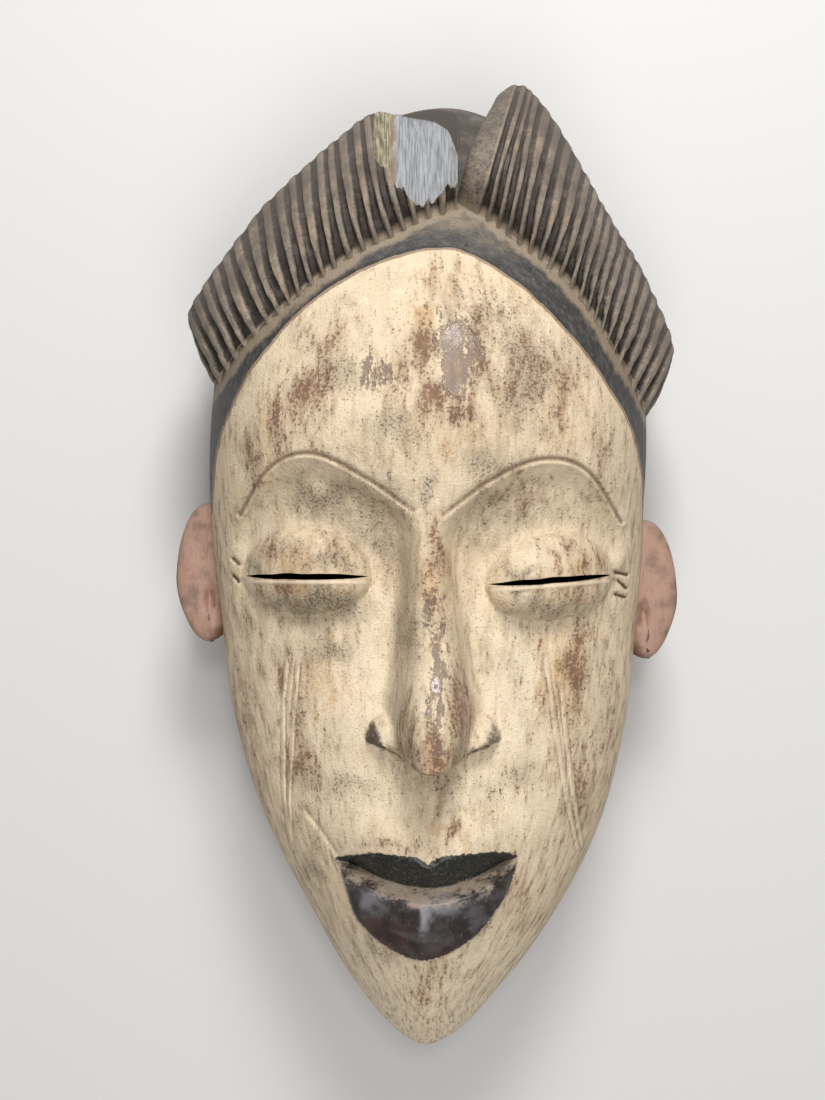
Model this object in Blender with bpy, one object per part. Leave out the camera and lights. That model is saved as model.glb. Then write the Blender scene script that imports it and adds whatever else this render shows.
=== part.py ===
"""Carved wooden face mask, lying on its open back.

X runs to the viewer's right, Y from the chin up to the crown and Z out of the face. The origin is on
the floor under the middle of the mask. Curves are drawn in millimetres for a mask of the drawn size
below, and stretched to the driving sizes. Holes, walls, the flutes' depth and the rim keep their own sizes.
"""

import bpy
import numpy as np

# Driving sizes, in metres
MASK_LENGTH = 0.305
HEAD_WIDTH = 0.1414
FACE_DEPTH = 0.118
WALL_THICKNESS = 0.0095
RIM_WIDTH = 0.0085
EYE_SLIT_WIDTH = 0.0021
EYE_SLIT_LENGTH = 0.0365
FLUTE_DEPTH = 0.0017
FLUTES_PER_LOBE = 21
EAR_LENGTH = 0.0455
EAR_THICKNESS = 0.013

# The size at which the curves below are drawn, in millimetres
DRAWN_LENGTH = 305.0
DRAWN_WIDTH = 141.4
DRAWN_DEPTH = 118.0
SCALE = np.array([HEAD_WIDTH / DRAWN_WIDTH, MASK_LENGTH / DRAWN_LENGTH, FACE_DEPTH / DRAWN_DEPTH])

# Outline of the head seen from the front, without coiffure and ears, clockwise from the crown
HEAD_CENTRE = (0.0, 10.0)
HEAD_OUTLINE = (
    (9, 152.5), (27, 146), (44, 133), (58, 112), (67, 88), (71, 58), (70.7, 24), (69.6, -2), (67.6, -23),
    (63.6, -54), (54.1, -85.6), (41.5, -109), (24, -132.7), (9, -148.3), (-0.5, -152.3), (-8.7, -148.3),
    (-22.4, -132.7), (-36.5, -109), (-49.2, -85.6), (-60.7, -54), (-66, -23), (-68.4, -2), (-70.5, 24),
    (-69.5, 58), (-65, 88), (-54, 113), (-38, 134), (-15, 148),
)
EDGE_HEIGHT = 37.0
SIDE_TAPER = 0.045
ROUNDING = (2.4, 2.2)

# Height of the middle of the face before its sides round off: (place along Y, height)
MIDLINE = (
    (-156, 100), (-130, 99), (-118, 97), (-92, 93), (-75, 90.5), (-58, 88), (-40, 86.5), (-20, 86.5),
    (0, 90), (20, 96.5), (40, 102.5), (60, 103.4), (98, 100), (130, 94), (157, 87),
)

# Features of the face: places in X and Y, lengths across the face and heights above or below it
BROWS = (
    ((-57.5, 19), (-48.6, 31.8), (-35.8, 36.9), (-18.1, 29.3), (-4.5, 20)),
    ((4.1, 18.5), (17.5, 28.3), (34, 35.1), (48, 31.7), (59.8, 16.9)),
)
BROW_GROOVE = (0.75, 1.1)
SOCKET_DEPTH = 4.6
SOCKET_FLOOR = -16.0
HOLLOWS = (
    (-13.5, 4, 6.5, 14, 3.0), (16.0, 3, 6.5, 14, 3.0), (-34, -13, 17, 5, 1.5), (35, -14, 17, 5, 1.5),
    (-12, -22, 5, 16, 1.4), (14.5, -22, 5, 16, 1.4), (-38, 18, 18, 5, 1.0), (38, 17, 18, 5, 1.0),
)
EYES = ((-37.0, 0.4, 20.2, 14.8, 11.2, 0.0), (37.4, -0.7, 20.0, 14.2, 12.2, 0.07))
LID_HEIGHT = 8.0
NOSE_RIDGE = (
    (34, 0.0, 0.5, 9), (22, 0.0, 2.0, 8), (8, 0.2, 6.5, 7.4), (-8, 0.6, 11.5, 8.0), (-24, 1.3, 17.5, 9.6),
    (-38, 1.6, 24.0, 11.6), (-45, 1.5, 27.0, 11.6), (-50, 1.3, 28.0, 11.0), (-54, 1.1, 28.0, 9.8),
    (-57, 1.0, 28.0, 8.0), (-70, 1.0, 28.0, 5.0),
)
NOSE_BASE = -55.6
NOSTRIL_WINGS = ((-11.6, -46.8), (14.8, -47.2))
WING_SIZE = (7.2, 8.0, 8.5, 9.0)
WING_BASE = (-56.2, 0.40)
PHILTRUM = (-60.0, -83.5, 1.9, 1.0)
MUZZLE = (0.5, -92.0, 33.0, 27.0, 7.0)
LIP_TOP = (
    (-28.5, -85.4), (-26.3, -84.6), (-20.1, -82.9), (-14.2, -82.0), (-8.9, -82.4), (-3.6, -83.3), (0, -85.4),
    (3.5, -83), (7.1, -82.2), (15.4, -82.0), (23.1, -82.6), (27.2, -84.2),
)
LIP_PARTING = (
    (-28.5, -85.6), (-20.4, -88.4), (-14.4, -90.7), (-8.4, -92.2), (-2.3, -93.0), (3.7, -93.0), (9.7, -91.8),
    (15.7, -90.0), (21.7, -87.2), (27.2, -84.4),
)
LIP_BOTTOM = (
    (-28.5, -85.8), (-26.4, -89), (-24.8, -94), (-22.9, -100.6), (-19.8, -105.4), (-14.4, -109.9),
    (-8.4, -113.3), (-2.3, -114.8), (3.7, -113.9), (9.7, -110.8), (15.8, -106.4), (21.9, -98.4), (25.5, -92),
    (27.2, -86),
)
LIP_RECESS = 6.5
LOWER_LIP_HEIGHT = 5.4
LIP_POINT = (-2.6, -104.5)
LIP_FACETS = (2.6, 0.40, 0.16, 0.55, 0.38)
LIP_STEP = 2.4
CHEEK_SCARS = (
    ((-42.6, -22.6), (-44.3, -38), (-44.6, -66), (-42.6, -85)),
    ((-39.1, -22.5), (-41.1, -44), (-42.9, -69), (-42.2, -85)),
    ((35.8, -23.9), (39, -46.8), (43, -68.7), (47.9, -87.7)),
    ((40.2, -28), (42.5, -50), (45.4, -69), (48.9, -86)),
)
SCAR_SIZE = (0.9, 0.8)

# Hairline, above which the smooth band lies a little lower than the face: (place along X, place along Y)
HAIRLINE = (
    (-69, 20), (-66.5, 36), (-62.3, 47.6), (-50.9, 65.9), (-32, 84.2), (-12, 94.5), (7.4, 97.6),
    (22.6, 90.2), (38.5, 76.4), (53.4, 58.9), (65.2, 40), (68.5, 28), (70.5, 12),
)
BAND_STEP = 0.9

# Fluted lobes. Each row is one flute's way: start at the band, control point, crest at the outline.
# X, Y and Z of the control point and crest; the start takes its Z from the head.
RIGHT_LOBE = (
    ((8.8, 112.8), (13.6, 126.0, 104), (20.4, 148.6, 66)),
    ((14.6, 109.2), (18.8, 122.5, 104), (27.2, 153.2, 66)),
    ((25.9, 100.1), (28.7, 114.5, 104), (36.5, 147.0, 65)),
    ((37.6, 91.7), (42.1, 104.6, 100), (48.9, 128.3, 62)),
    ((47.6, 80.2), (51.4, 91.2, 95), (57.9, 113.0, 60)),
    ((57.7, 65.4), (62.5, 78.5, 86), (69.1, 95.8, 56)),
    ((65.3, 55.2), (70.6, 65.4, 73), (77.7, 78.2, 52)),
    ((70.9, 48.5), (76.1, 55.9, 58), (80.6, 69.1, 47)),
)
LEFT_LOBE = (
    ((9.6, 110.0), (10.2, 124.0, 104), (9.4, 149.0, 66)),
    ((2.0, 107.8), (-1.5, 122.0, 105), (-3.0, 149.5, 66)),
    ((-11.4, 102.6), (-17.2, 115.0, 105), (-19.1, 143.5, 65)),
    ((-20.8, 98.1), (-26.5, 108.1, 102), (-27.9, 137.2, 64)),
    ((-32.7, 90.6), (-37.4, 100.7, 99), (-39.9, 127.4, 62)),
    ((-42.4, 83.2), (-47.4, 92.6, 95), (-52.0, 116.2, 60)),
    ((-57.2, 70.4), (-63.6, 79.4, 85), (-69.1, 95.1, 56)),
    ((-63.8, 62.5), (-69.3, 71.2, 72), (-75.7, 85.9, 52)),
    ((-67.6, 56.8), (-73.0, 66.0, 58), (-78.2, 81.3, 47)),
)
LOBE_FOOT_HEIGHT = 20.0
LOBE_BACK_BULGE = 1.04
SUNK = 3.0

# Split in the left lobe: outline of the missing splinter and the slope of what it left
SPLIT_OUTLINE = (
    (-16.4, 156), (-16.2, 128), (-12.9, 122), (-9.4, 115.8), (-7.4, 116.2), (-5.6, 112.2), (-1.2, 111),
    (0.2, 113.4), (1.4, 112), (4.6, 115.2), (6.0, 117.6), (7.0, 116.2), (9.2, 118.5), (9.6, 126), (9.0, 156),
)
SPLIT_HEIGHT = 87.0
SPLIT_SLOPE = (0.22, 0.80)

# Ears: centre and tilt, in millimetres and degrees
EARS = ((-70.2, 1.2, 41.0, -8.0), (70.2, -4.4, 41.0, 8.0))
EAR_REACH = 10.6
EAR_DISH = 5.0

# How finely each form is divided
FACE_CELLS = (124, 236)
FACE_KEPT = 0.071
SIDE_ROWS = 3
HOLLOW_CELLS = (16, 30)
LOBE_ROWS = (7, 4)
COLUMNS_PER_FLUTE = 3
EAR_CELLS = (24, 6)
SLAB_DEPTH = 12.0


def spline(knots, at):
    """Value at each place of a smooth curve through knots (place, value...), with places rising.

    Each span is a cubic whose slope at a knot is the mean slope of its two neighbours.
    """
    knots = np.asarray(knots, float)
    place, value = knots[:, 0], knots[:, 1:]
    rise = np.diff(value, axis=0) / np.diff(place)[:, None]
    slope = np.vstack([rise[:1], 0.5 * (rise[1:] + rise[:-1]), rise[-1:]])
    flat = np.clip(np.ravel(at), place[0], place[-1])
    span = np.clip(np.searchsorted(place, flat, side="right") - 1, 0, len(place) - 2)
    width = (place[span + 1] - place[span])[:, None]
    t = (flat - place[span])[:, None] / width
    found = (
        (2 * t**3 - 3 * t**2 + 1) * value[span]
        + (t**3 - 2 * t**2 + t) * width * slope[span]
        + (3 * t**2 - 2 * t**3) * value[span + 1]
        + (t**3 - t**2) * width * slope[span + 1]
    )
    found = found[:, 0] if found.shape[1] == 1 else found
    return found.reshape(np.shape(at) + found.shape[1:])


def ease(x):
    """0 below 0, 1 above 1, and a smooth S between."""
    x = np.clip(x, 0.0, 1.0)
    return x * x * (3 - 2 * x)


def soft_max(a, b, blend):
    """The larger of two heights, with the crease between them rounded over a height of blend."""
    return 0.5 * (a + b + np.sqrt((a - b) ** 2 + blend**2) - blend)


def distance_to_line(x, y, points):
    """Distance from (x, y) to an open line through points, as straight spans."""
    nearest = np.full(np.shape(x), np.inf)
    for (ax, ay), (bx, by) in zip(points[:-1], points[1:]):
        dx, dy = bx - ax, by - ay
        t = np.clip(((x - ax) * dx + (y - ay) * dy) / (dx * dx + dy * dy), 0, 1)
        nearest = np.minimum(nearest, np.hypot(x - ax - t * dx, y - ay - t * dy))
    return nearest


def outline_radius(angle):
    """Distance from the head's centre to its outline, at an angle from +X."""
    points = np.asarray(HEAD_OUTLINE, float) - HEAD_CENTRE
    turn = np.arctan2(points[:, 1], points[:, 0])
    order = np.argsort(turn)
    turn, reach = turn[order], np.hypot(points[order, 0], points[order, 1])
    knots = np.column_stack([np.concatenate([turn - 2 * np.pi, turn, turn + 2 * np.pi]), np.tile(reach, 3)])
    return spline(knots, angle)


def share_out(x, y, inset=0.0):
    """0 at the head's centre and 1 at its outline, drawn in by inset."""
    dx, dy = x - HEAD_CENTRE[0], y - HEAD_CENTRE[1]
    return np.hypot(dx, dy) / (outline_radius(np.arctan2(dy, dx)) - inset)


def rounding(share):
    return (1 - np.clip(share, 0, 1) ** ROUNDING[0]) ** (1 / ROUNDING[1])


def head_height(x, y):
    """The plain egg of the head: the middle line's height, rounded off to the edge height at the outline."""
    return EDGE_HEIGHT + (spline(MIDLINE, y) - EDGE_HEIGHT) * rounding(share_out(x, y))


def brow_relief(x, y):
    """Sockets cut back under each brow line, which is a groove with a raised lower edge."""
    z = np.zeros(np.shape(x))
    for side, brow in zip((-1, 1), BROWS):
        drop = spline(brow, x) - y
        inside = ease((x * side - 1.0) / 9.0) * ease((62.0 - x * side) / 8.0)
        floor = ease((y - SOCKET_FLOOR) / 26.0)
        z -= SOCKET_DEPTH * inside * floor * ease(drop / 9.0)
        off = distance_to_line(x, y, [tuple(p) for p in curve_points(brow, 24)])
        z -= BROW_GROOVE[1] * np.exp(-((off / BROW_GROOVE[0]) ** 2))
    for cx, cy, wide, tall, deep in HOLLOWS:
        z -= deep * np.exp(-(((x - cx) / wide) ** 2) - ((y - cy) / tall) ** 2)
    return z


def curve_points(knots, count):
    """Points of the smooth curve y(x) through knots."""
    x = np.linspace(knots[0][0], knots[-1][0], count)
    return np.column_stack([x, spline(knots, x)])


def lid_relief(x, y):
    """Closed lids: a half ellipse above each slit and a shallower one below, both with a firm edge."""
    z = np.zeros(np.shape(x))
    for cx, cy, half, above, below, tilt in EYES:
        dx = x - cx
        dy = y - cy - tilt * dx
        reach = np.where(dy > 0, above, below)
        inside = 1 - (dx / half) ** 2 - (dy / reach) ** 2
        z += LID_HEIGHT * np.clip(inside, 0, 1) ** np.where(dy > 0, 0.7, 0.62)
    return z


def nose_relief(x, y):
    """A rounded ridge that grows to the tip and ends in a firm underside, with a wing at each side."""
    rows = np.asarray(NOSE_RIDGE)[::-1]
    middle, height, half = np.moveaxis(spline(rows, y), -1, 0)
    across = np.abs(x - middle) / half
    under = ease((y - NOSE_BASE - 2.0 * across**2 + 3.0) / 3.4)
    z = height * np.exp(-(across**3.0)) * under
    wide, above, below, high = WING_SIZE
    base = WING_BASE[0] + WING_BASE[1] * np.abs(x - 1.6)
    for cx, cy in NOSTRIL_WINGS:
        reach = np.where(y > cy, above, below)
        inside = 1 - ((x - cx) / wide) ** 2 - ((y - cy) / reach) ** 2
        wing = high * np.clip(inside, 0, 1) ** 0.52 * ease((y - base) / 1.5)
        z = soft_max(z, wing, 1.3)
    return z


def mouth_relief(x, y):
    """The muzzle's swell, the groove above the lips, the recessed upper lip and the jutting lower lip."""
    cx, cy, wide, tall, high = MUZZLE
    z = high * np.exp(-(((x - cx) / wide) ** 2) - ((y - cy) / tall) ** 2)
    top, bottom, half, deep = PHILTRUM
    window = ease((top - y) / 8.0) * ease((y - bottom + 3) / 3.0)
    z -= deep * window * np.exp(-(((x - 1.0) / half) ** 2))
    upper, parting, lower = (spline(line, x) for line in (LIP_TOP, LIP_PARTING, LIP_BOTTOM))
    within = ease((x - LIP_TOP[0][0]) / 5.0) * ease((LIP_TOP[-1][0] - x) / 5.0)
    cut = np.clip((upper - y) / np.maximum(upper - parting, 0.4), 0, 1)
    upper_lip = 0.5 * ease(cut / 0.12) * ease((0.5 - cut) / 0.4) - LIP_RECESS * cut**1.25
    dx, dy = x - LIP_POINT[0], y - LIP_POINT[1]
    inner, front, keel, under, right = LIP_FACETS
    facets = LOWER_LIP_HEIGHT - front * np.maximum(dy, -30) - keel * np.abs(dx)
    facets = np.minimum(facets, LOWER_LIP_HEIGHT - 0.5 * keel * np.abs(dx) + under * (dy + 0.2 * np.minimum(dx, 0)))
    facets = np.minimum(facets, LOWER_LIP_HEIGHT - right * (0.73 * dx - 0.68 * dy))
    rest = np.minimum(np.maximum(facets, LIP_STEP), inner * (parting - y) - LIP_RECESS)
    lower_lip = rest * (1 - ease((lower - y) / 1.2))
    lips = np.where(y > parting, upper_lip, lower_lip)
    return z + within * np.where(y < upper, lips, 0.0)


def scar_relief(x, y):
    half, high = SCAR_SIZE
    z = np.zeros(np.shape(x))
    for line in CHEEK_SCARS:
        z = np.maximum(z, high * np.exp(-((distance_to_line(x, y, line) / half) ** 2)))
    return z


def face_height(x, y):
    """Height of the front at each place: the egg with every feature of the face and the band's step."""
    z = head_height(x, y) + brow_relief(x, y) + lid_relief(x, y) + nose_relief(x, y)
    z += mouth_relief(x, y) + scar_relief(x, y)
    return z - BAND_STEP * ease((y - spline(HAIRLINE, x)) / 1.2)


def egg_grid(cells, inset=0.0):
    """Places inside the head's outline, on a square grid bent to fill it and drawn closer near the edge.

    The square becomes a disc by x = u * sqrt(1 - v*v/2) and y = v * sqrt(1 - u*u/2). A disc radius r under
    0.694 grows 1.2 times, and beyond it becomes 1 - 2.26 * (1 - r) ** 2.2, so that it ends at the outline.
    """
    u, v = np.meshgrid(np.linspace(-1, 1, cells[0] + 1), np.linspace(-1, 1, cells[1] + 1))
    x, y = u * np.sqrt(1 - v * v / 2), v * np.sqrt(1 - u * u / 2)
    r = np.clip(np.hypot(x, y), 1e-9, 1.0)
    spread = np.where(r < 0.694, 1.2 * r, 1 - 2.262 * (1 - r) ** 2.2)
    turn = np.arctan2(y, x)
    reach = spread * (outline_radius(turn) - inset)
    return HEAD_CENTRE[0] + reach * np.cos(turn), HEAD_CENTRE[1] + reach * np.sin(turn)


def border(grid):
    """The outer ring of a grid, anticlockwise, without repeating its first place."""
    return np.concatenate([grid[0, :-1], grid[:-1, -1], grid[-1, :0:-1], grid[:0:-1, 0]])


def grid_faces(rows, columns, closed=False, start=0):
    """Four-sided faces of a grid of rows and columns, facing up when x runs along a row and y up the rows."""
    index = start + np.arange(rows * columns).reshape(rows, columns)
    if closed:
        index = np.hstack([index, index[:, :1]])
    return np.stack([index[:-1, :-1], index[:-1, 1:], index[1:, 1:], index[1:, :-1]], -1).reshape(-1, 4)


def middle_of(solids):
    """The middle of the box around several solids, on the floor."""
    points = np.vstack([points for points, _ in solids])
    middle = (points.min(axis=0) + points.max(axis=0)) / 2
    return middle * [1, 1, 0]


def make_object(name, solid, middle, helper=True):
    """A mesh object in metres from a solid in drawn millimetres. A helper is left out of the render."""
    points, faces = solid
    mesh = bpy.data.meshes.new(name)
    mesh.from_pydata(((points - middle) * SCALE).tolist(), [], [list(map(int, face)) for face in faces])
    mesh.validate()
    obj = bpy.data.objects.new(name, mesh)
    bpy.context.scene.collection.objects.link(obj)
    if helper:
        obj.hide_render = True
        obj.display_type = "WIRE"
    return obj


def capped_dome(top, ring_levels):
    """Points and faces of a solid whose top is a grid and whose sides follow its border down to a flat base.

    ring_levels lists (height, outward share) for each ring under the border.
    """
    x, y, z = top
    rows, columns = x.shape
    edge = border(np.arange(rows * columns).reshape(rows, columns))
    points = [np.column_stack([x.ravel(), y.ravel(), z.ravel()])]
    faces = [list(face) for face in grid_faces(rows, columns)]
    ring_x, ring_y = border(x), border(y)
    above = edge
    for level, share in ring_levels:
        ring = rows * columns + len(edge) * (len(points) - 1) + np.arange(len(edge))
        points.append(np.column_stack([
            HEAD_CENTRE[0] + (ring_x - HEAD_CENTRE[0]) * share,
            HEAD_CENTRE[1] + (ring_y - HEAD_CENTRE[1]) * share,
            np.full(len(edge), level),
        ]))
        faces += [list(f) for f in np.column_stack([ring, np.roll(ring, -1), np.roll(above, -1), above])]
        above = ring
    faces.append(list(above[::-1]))
    return np.vstack(points), faces


def head_solid():
    """The head with its face in front, still solid, its sides drawn in a little towards the rim."""
    x, y = egg_grid(FACE_CELLS)
    levels = [
        (EDGE_HEIGHT - (EDGE_HEIGHT + SLAB_DEPTH / 2) * k / SIDE_ROWS, 1 - SIDE_TAPER * (k / SIDE_ROWS) ** 2)
        for k in range(1, SIDE_ROWS + 1)
    ]
    return capped_dome((x, y, face_height(x, y)), levels)


def hollow_cutter():
    """The space behind the face: the plain egg drawn in by the wall in front and by the rim at the sides."""
    wall = WALL_THICKNESS / SCALE[2]
    rim = RIM_WIDTH / SCALE[0]
    x, y = egg_grid(HOLLOW_CELLS, inset=rim + 3.0)
    top = spline(MIDLINE, y) - wall
    low = EDGE_HEIGHT - wall
    z = low + (top - low) * rounding(share_out(x, y, inset=rim + 2.0))
    return capped_dome((x, y, z), [(0.0, 1.012), (-SLAB_DEPTH, 1.012)])


def lobe_solid(lobe):
    """One fluted lobe: each flute's way is swept over the front, round the crest and back to the head.

    The front is a quadratic curve from the band over the control point to the crest. The back is another
    one, from the crest down to the head's side. Grooves are pressed in along the surface's own normal.
    """
    starts = np.array([row[0] for row in lobe], float)
    along = np.concatenate([[0], np.cumsum(np.hypot(*np.diff(starts, axis=0).T))])
    along /= along[-1]
    columns = FLUTES_PER_LOBE * COLUMNS_PER_FLUTE + 1
    s = np.linspace(0, 1, columns)
    start = spline(np.column_stack([along, starts]), s)
    start = np.column_stack([start, head_height(start[:, 0], start[:, 1]) - SUNK])
    control = spline(np.column_stack([along, [row[1] for row in lobe]]), s)
    crest = spline(np.column_stack([along, [row[2] for row in lobe]]), s)
    turn = np.arctan2(crest[:, 1] - HEAD_CENTRE[1], crest[:, 0] - HEAD_CENTRE[0])
    foot_reach = outline_radius(turn) - 2 * SUNK
    foot = np.column_stack([
        HEAD_CENTRE[0] + foot_reach * np.cos(turn),
        HEAD_CENTRE[1] + foot_reach * np.sin(turn),
        np.full(columns, LOBE_FOOT_HEIGHT),
    ])
    behind = crest * [LOBE_BACK_BULGE, 1.0, 0.52]
    front_rows, back_rows = LOBE_ROWS
    t = np.linspace(0, 1, front_rows + 1)[:, None, None]
    front = (1 - t) ** 2 * start + 2 * t * (1 - t) * control + t**2 * crest
    t = np.linspace(0, 1, back_rows + 1)[1:, None, None]
    back = (1 - t) ** 2 * crest + 2 * t * (1 - t) * behind + t**2 * foot
    surface = np.concatenate([front, back])
    surface = press_flutes(surface, s, front_rows, back_rows)
    inner = 0.5 * (surface[:1] + surface[-1:])
    ring = np.concatenate([surface, inner])
    return sweep_solid(np.swapaxes(ring, 0, 1))


def press_flutes(surface, s, front_rows, back_rows):
    """Grooves between the flutes: deepest just above the band, shallow at the crest, none where they start."""
    across, down = np.gradient(surface, axis=1), np.gradient(surface, axis=0)
    normal = np.cross(across, down)
    normal /= np.linalg.norm(normal, axis=-1, keepdims=True) + 1e-9
    middle = surface.mean(axis=0, keepdims=True)
    facing = np.sign(np.sum(normal * (surface - middle), axis=(0, -1), keepdims=True))
    phase = (s * FLUTES_PER_LOBE) % 1.0
    groove = ease(2.4 * np.minimum(phase, 1 - phase) - 0.1)
    row = np.arange(front_rows + back_rows + 1) / front_rows
    depth = FLUTE_DEPTH / SCALE[0] * np.interp(row, [0, 0.08, 0.3, 1.0, 1.4, 2.0], [0.2, 0.9, 1.0, 0.7, 0.6, 0.0])
    return surface - normal * facing * depth[:, None, None] * groove[None, :, None]


def sweep_solid(rings):
    """Points and faces of a closed solid through rings of equal length, capped at both ends by a fan."""
    count, size = rings.shape[:2]
    faces = [list(face) for face in grid_faces(count, size, closed=True)]
    ends = rings[[0, -1]].mean(axis=1)
    points = np.vstack([rings.reshape(-1, 3), ends])
    first, last = np.arange(size), (count - 1) * size + np.arange(size)
    faces += [[count * size, b, a] for a, b in zip(first, np.roll(first, -1))]
    faces += [[count * size + 1, a, b] for a, b in zip(last, np.roll(last, -1))]
    corners = [(points[f[0]], points[f[k]], points[f[k + 1]]) for f in faces for k in range(1, len(f) - 1)]
    volume = sum(np.dot(a, np.cross(b, c)) for a, b, c in corners)
    return points, faces if volume > 0 else [face[::-1] for face in faces]


def ear_solid(x, y, z, tilt):
    """A flat C-shaped ear: an upright oval plate, dished in front along the head."""
    around, layers = EAR_CELLS
    half_length = EAR_LENGTH / SCALE[1] / 2
    half_thick = EAR_THICKNESS / SCALE[2] / 2
    turn = np.linspace(0, 2 * np.pi, around, endpoint=False)
    side = np.sign(x)
    rings = []
    for k in range(layers + 1):
        lean = np.pi * k / layers
        reach = max(np.sin(lean), 0.02) ** 0.45
        px = EAR_REACH * reach * np.cos(turn)
        py = half_length * reach * np.sin(turn)
        dish = EAR_DISH * ease((3.0 - side * px) / 7.0) * (lean < np.pi / 2)
        pz = half_thick * np.cos(lean) - dish
        lean_in = np.radians(tilt)
        rings.append(np.column_stack([
            x + px * np.cos(lean_in) - py * np.sin(lean_in) * 0.5 + side * 0.6,
            y + py * np.cos(lean_in) + px * np.sin(lean_in) * 0.5,
            z + pz - side * px * 0.12,
        ]))
    return sweep_solid(np.array(rings))


def split_cutter():
    """The missing splinter: an upright block over the split's outline, with a sloping underside."""
    outline = np.array(SPLIT_OUTLINE, float)
    low_x, low_y = outline.min(axis=0)
    under = SPLIT_HEIGHT - SPLIT_SLOPE[0] * (outline[:, 0] - low_x) - SPLIT_SLOPE[1] * (outline[:, 1] - low_y)
    rings = np.stack([
        np.column_stack([outline, under]),
        np.column_stack([outline, np.full(len(outline), DRAWN_DEPTH * 1.4)]),
    ])
    count = len(outline)
    points = rings.reshape(-1, 3)
    faces = [list(face) for face in grid_faces(2, count, closed=True)]
    faces += [list(range(count))[::-1], list(range(count, 2 * count))]
    return points, faces


def slit_cutter(eye):
    """A thin upright wedge through the wall along one closed eye, pointed at both ends."""
    cx, cy, _, _, _, tilt = eye
    half_length = EYE_SLIT_LENGTH / SCALE[0] / 2
    half_width = EYE_SLIT_WIDTH / SCALE[1] / 2
    x = np.array([-1, -0.7, 0.7, 1, 0.7, -0.7]) * half_length
    y = np.array([0.1, -1, -1, 0.1, 1, 1]) * half_width
    outline = np.column_stack([cx + x, cy + y + tilt * x])
    rings = np.stack([
        np.column_stack([outline, np.full(6, EDGE_HEIGHT)]),
        np.column_stack([outline, np.full(6, DRAWN_DEPTH)]),
    ])
    faces = [list(face) for face in grid_faces(2, 6, closed=True)]
    faces += [[5, 4, 3, 2, 1, 0], [6, 7, 8, 9, 10, 11]]
    return rings.reshape(-1, 3), faces


def floor_slab():
    """Everything under the rim, to be cut away flat."""
    half_x, half_y = DRAWN_WIDTH, DRAWN_LENGTH
    corners = np.array([(-half_x, -half_y), (half_x, -half_y), (half_x, half_y), (-half_x, half_y)])
    low = np.column_stack([corners, np.full(4, -2 * SLAB_DEPTH)])
    high = np.column_stack([corners, np.zeros(4)])
    faces = [list(face) for face in grid_faces(2, 4, closed=True)] + [[3, 2, 1, 0], [4, 5, 6, 7]]
    return np.vstack([low, high]), faces


def add_boolean(target, other, operation):
    modifier = target.modifiers.new(f"{operation.lower()} {other.name}", "BOOLEAN")
    modifier.object = other
    modifier.operation = operation
    modifier.solver = "EXACT"


def wood_material():
    material = bpy.data.materials.new("kaolin_on_wood")
    material.use_nodes = True
    shader = material.node_tree.nodes["Principled BSDF"]
    shader.inputs["Base Color"].default_value = (0.60, 0.50, 0.36, 1)
    shader.inputs["Roughness"].default_value = 0.65
    shader.inputs["Metallic"].default_value = 0.0
    return material


def build():
    for obj in list(bpy.data.objects):
        bpy.data.objects.remove(obj, do_unlink=True)
    head = head_solid()
    added = {"left_lobe": lobe_solid(LEFT_LOBE), "right_lobe": lobe_solid(RIGHT_LOBE)}
    added |= {f"{side}_ear": ear_solid(*ear) for side, ear in zip(("left", "right"), EARS)}
    cut = {"split": split_cutter(), "hollow": hollow_cutter()}
    cut |= {f"{side}_eye_slit": slit_cutter(eye) for side, eye in zip(("left", "right"), EYES)}
    cut["floor"] = floor_slab()
    middle = middle_of([head, *added.values()])
    mask = make_object("carved_mask", head, middle, helper=False)
    thin = mask.modifiers.new("fewer faces", "DECIMATE")
    thin.ratio = FACE_KEPT
    for solids, operation in ((added, "UNION"), (cut, "DIFFERENCE")):
        for name, solid in solids.items():
            add_boolean(mask, make_object(name, solid, middle), operation)
    mask.data.materials.append(wood_material())
    mask.data.shade_smooth()
    mask.data.set_sharp_from_angle(angle=np.radians(40))


build()
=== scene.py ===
"""Looks of the carved face mask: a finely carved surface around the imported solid, its paint and its light.

Curves are drawn in millimetres, as the part's own source draws them, and the drawing is laid on the frame
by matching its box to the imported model's box. X runs to the viewer's right, Y up to the crown, Z out of
the face.
"""

from itertools import product

import bpy
import numpy as np
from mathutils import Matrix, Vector


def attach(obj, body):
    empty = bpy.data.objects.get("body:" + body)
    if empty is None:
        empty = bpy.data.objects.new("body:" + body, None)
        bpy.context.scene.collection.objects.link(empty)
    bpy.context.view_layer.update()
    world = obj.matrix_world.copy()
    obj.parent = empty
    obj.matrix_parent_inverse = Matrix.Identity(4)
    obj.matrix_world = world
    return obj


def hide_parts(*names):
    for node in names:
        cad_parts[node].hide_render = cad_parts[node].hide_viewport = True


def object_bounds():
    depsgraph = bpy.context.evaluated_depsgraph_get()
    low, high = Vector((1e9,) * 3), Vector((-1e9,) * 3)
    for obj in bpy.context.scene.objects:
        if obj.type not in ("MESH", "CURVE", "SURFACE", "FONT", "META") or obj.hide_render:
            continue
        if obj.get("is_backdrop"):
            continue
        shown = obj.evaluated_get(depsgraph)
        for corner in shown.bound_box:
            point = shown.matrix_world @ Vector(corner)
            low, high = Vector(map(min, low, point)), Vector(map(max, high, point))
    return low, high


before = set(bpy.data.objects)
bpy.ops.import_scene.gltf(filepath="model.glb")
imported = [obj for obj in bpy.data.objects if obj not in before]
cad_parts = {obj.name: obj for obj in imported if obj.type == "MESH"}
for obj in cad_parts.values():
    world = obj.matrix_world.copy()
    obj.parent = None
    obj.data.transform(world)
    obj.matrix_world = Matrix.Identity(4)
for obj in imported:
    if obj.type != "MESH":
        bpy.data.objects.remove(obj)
cad_low, cad_high = (np.array(corner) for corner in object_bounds())

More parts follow.
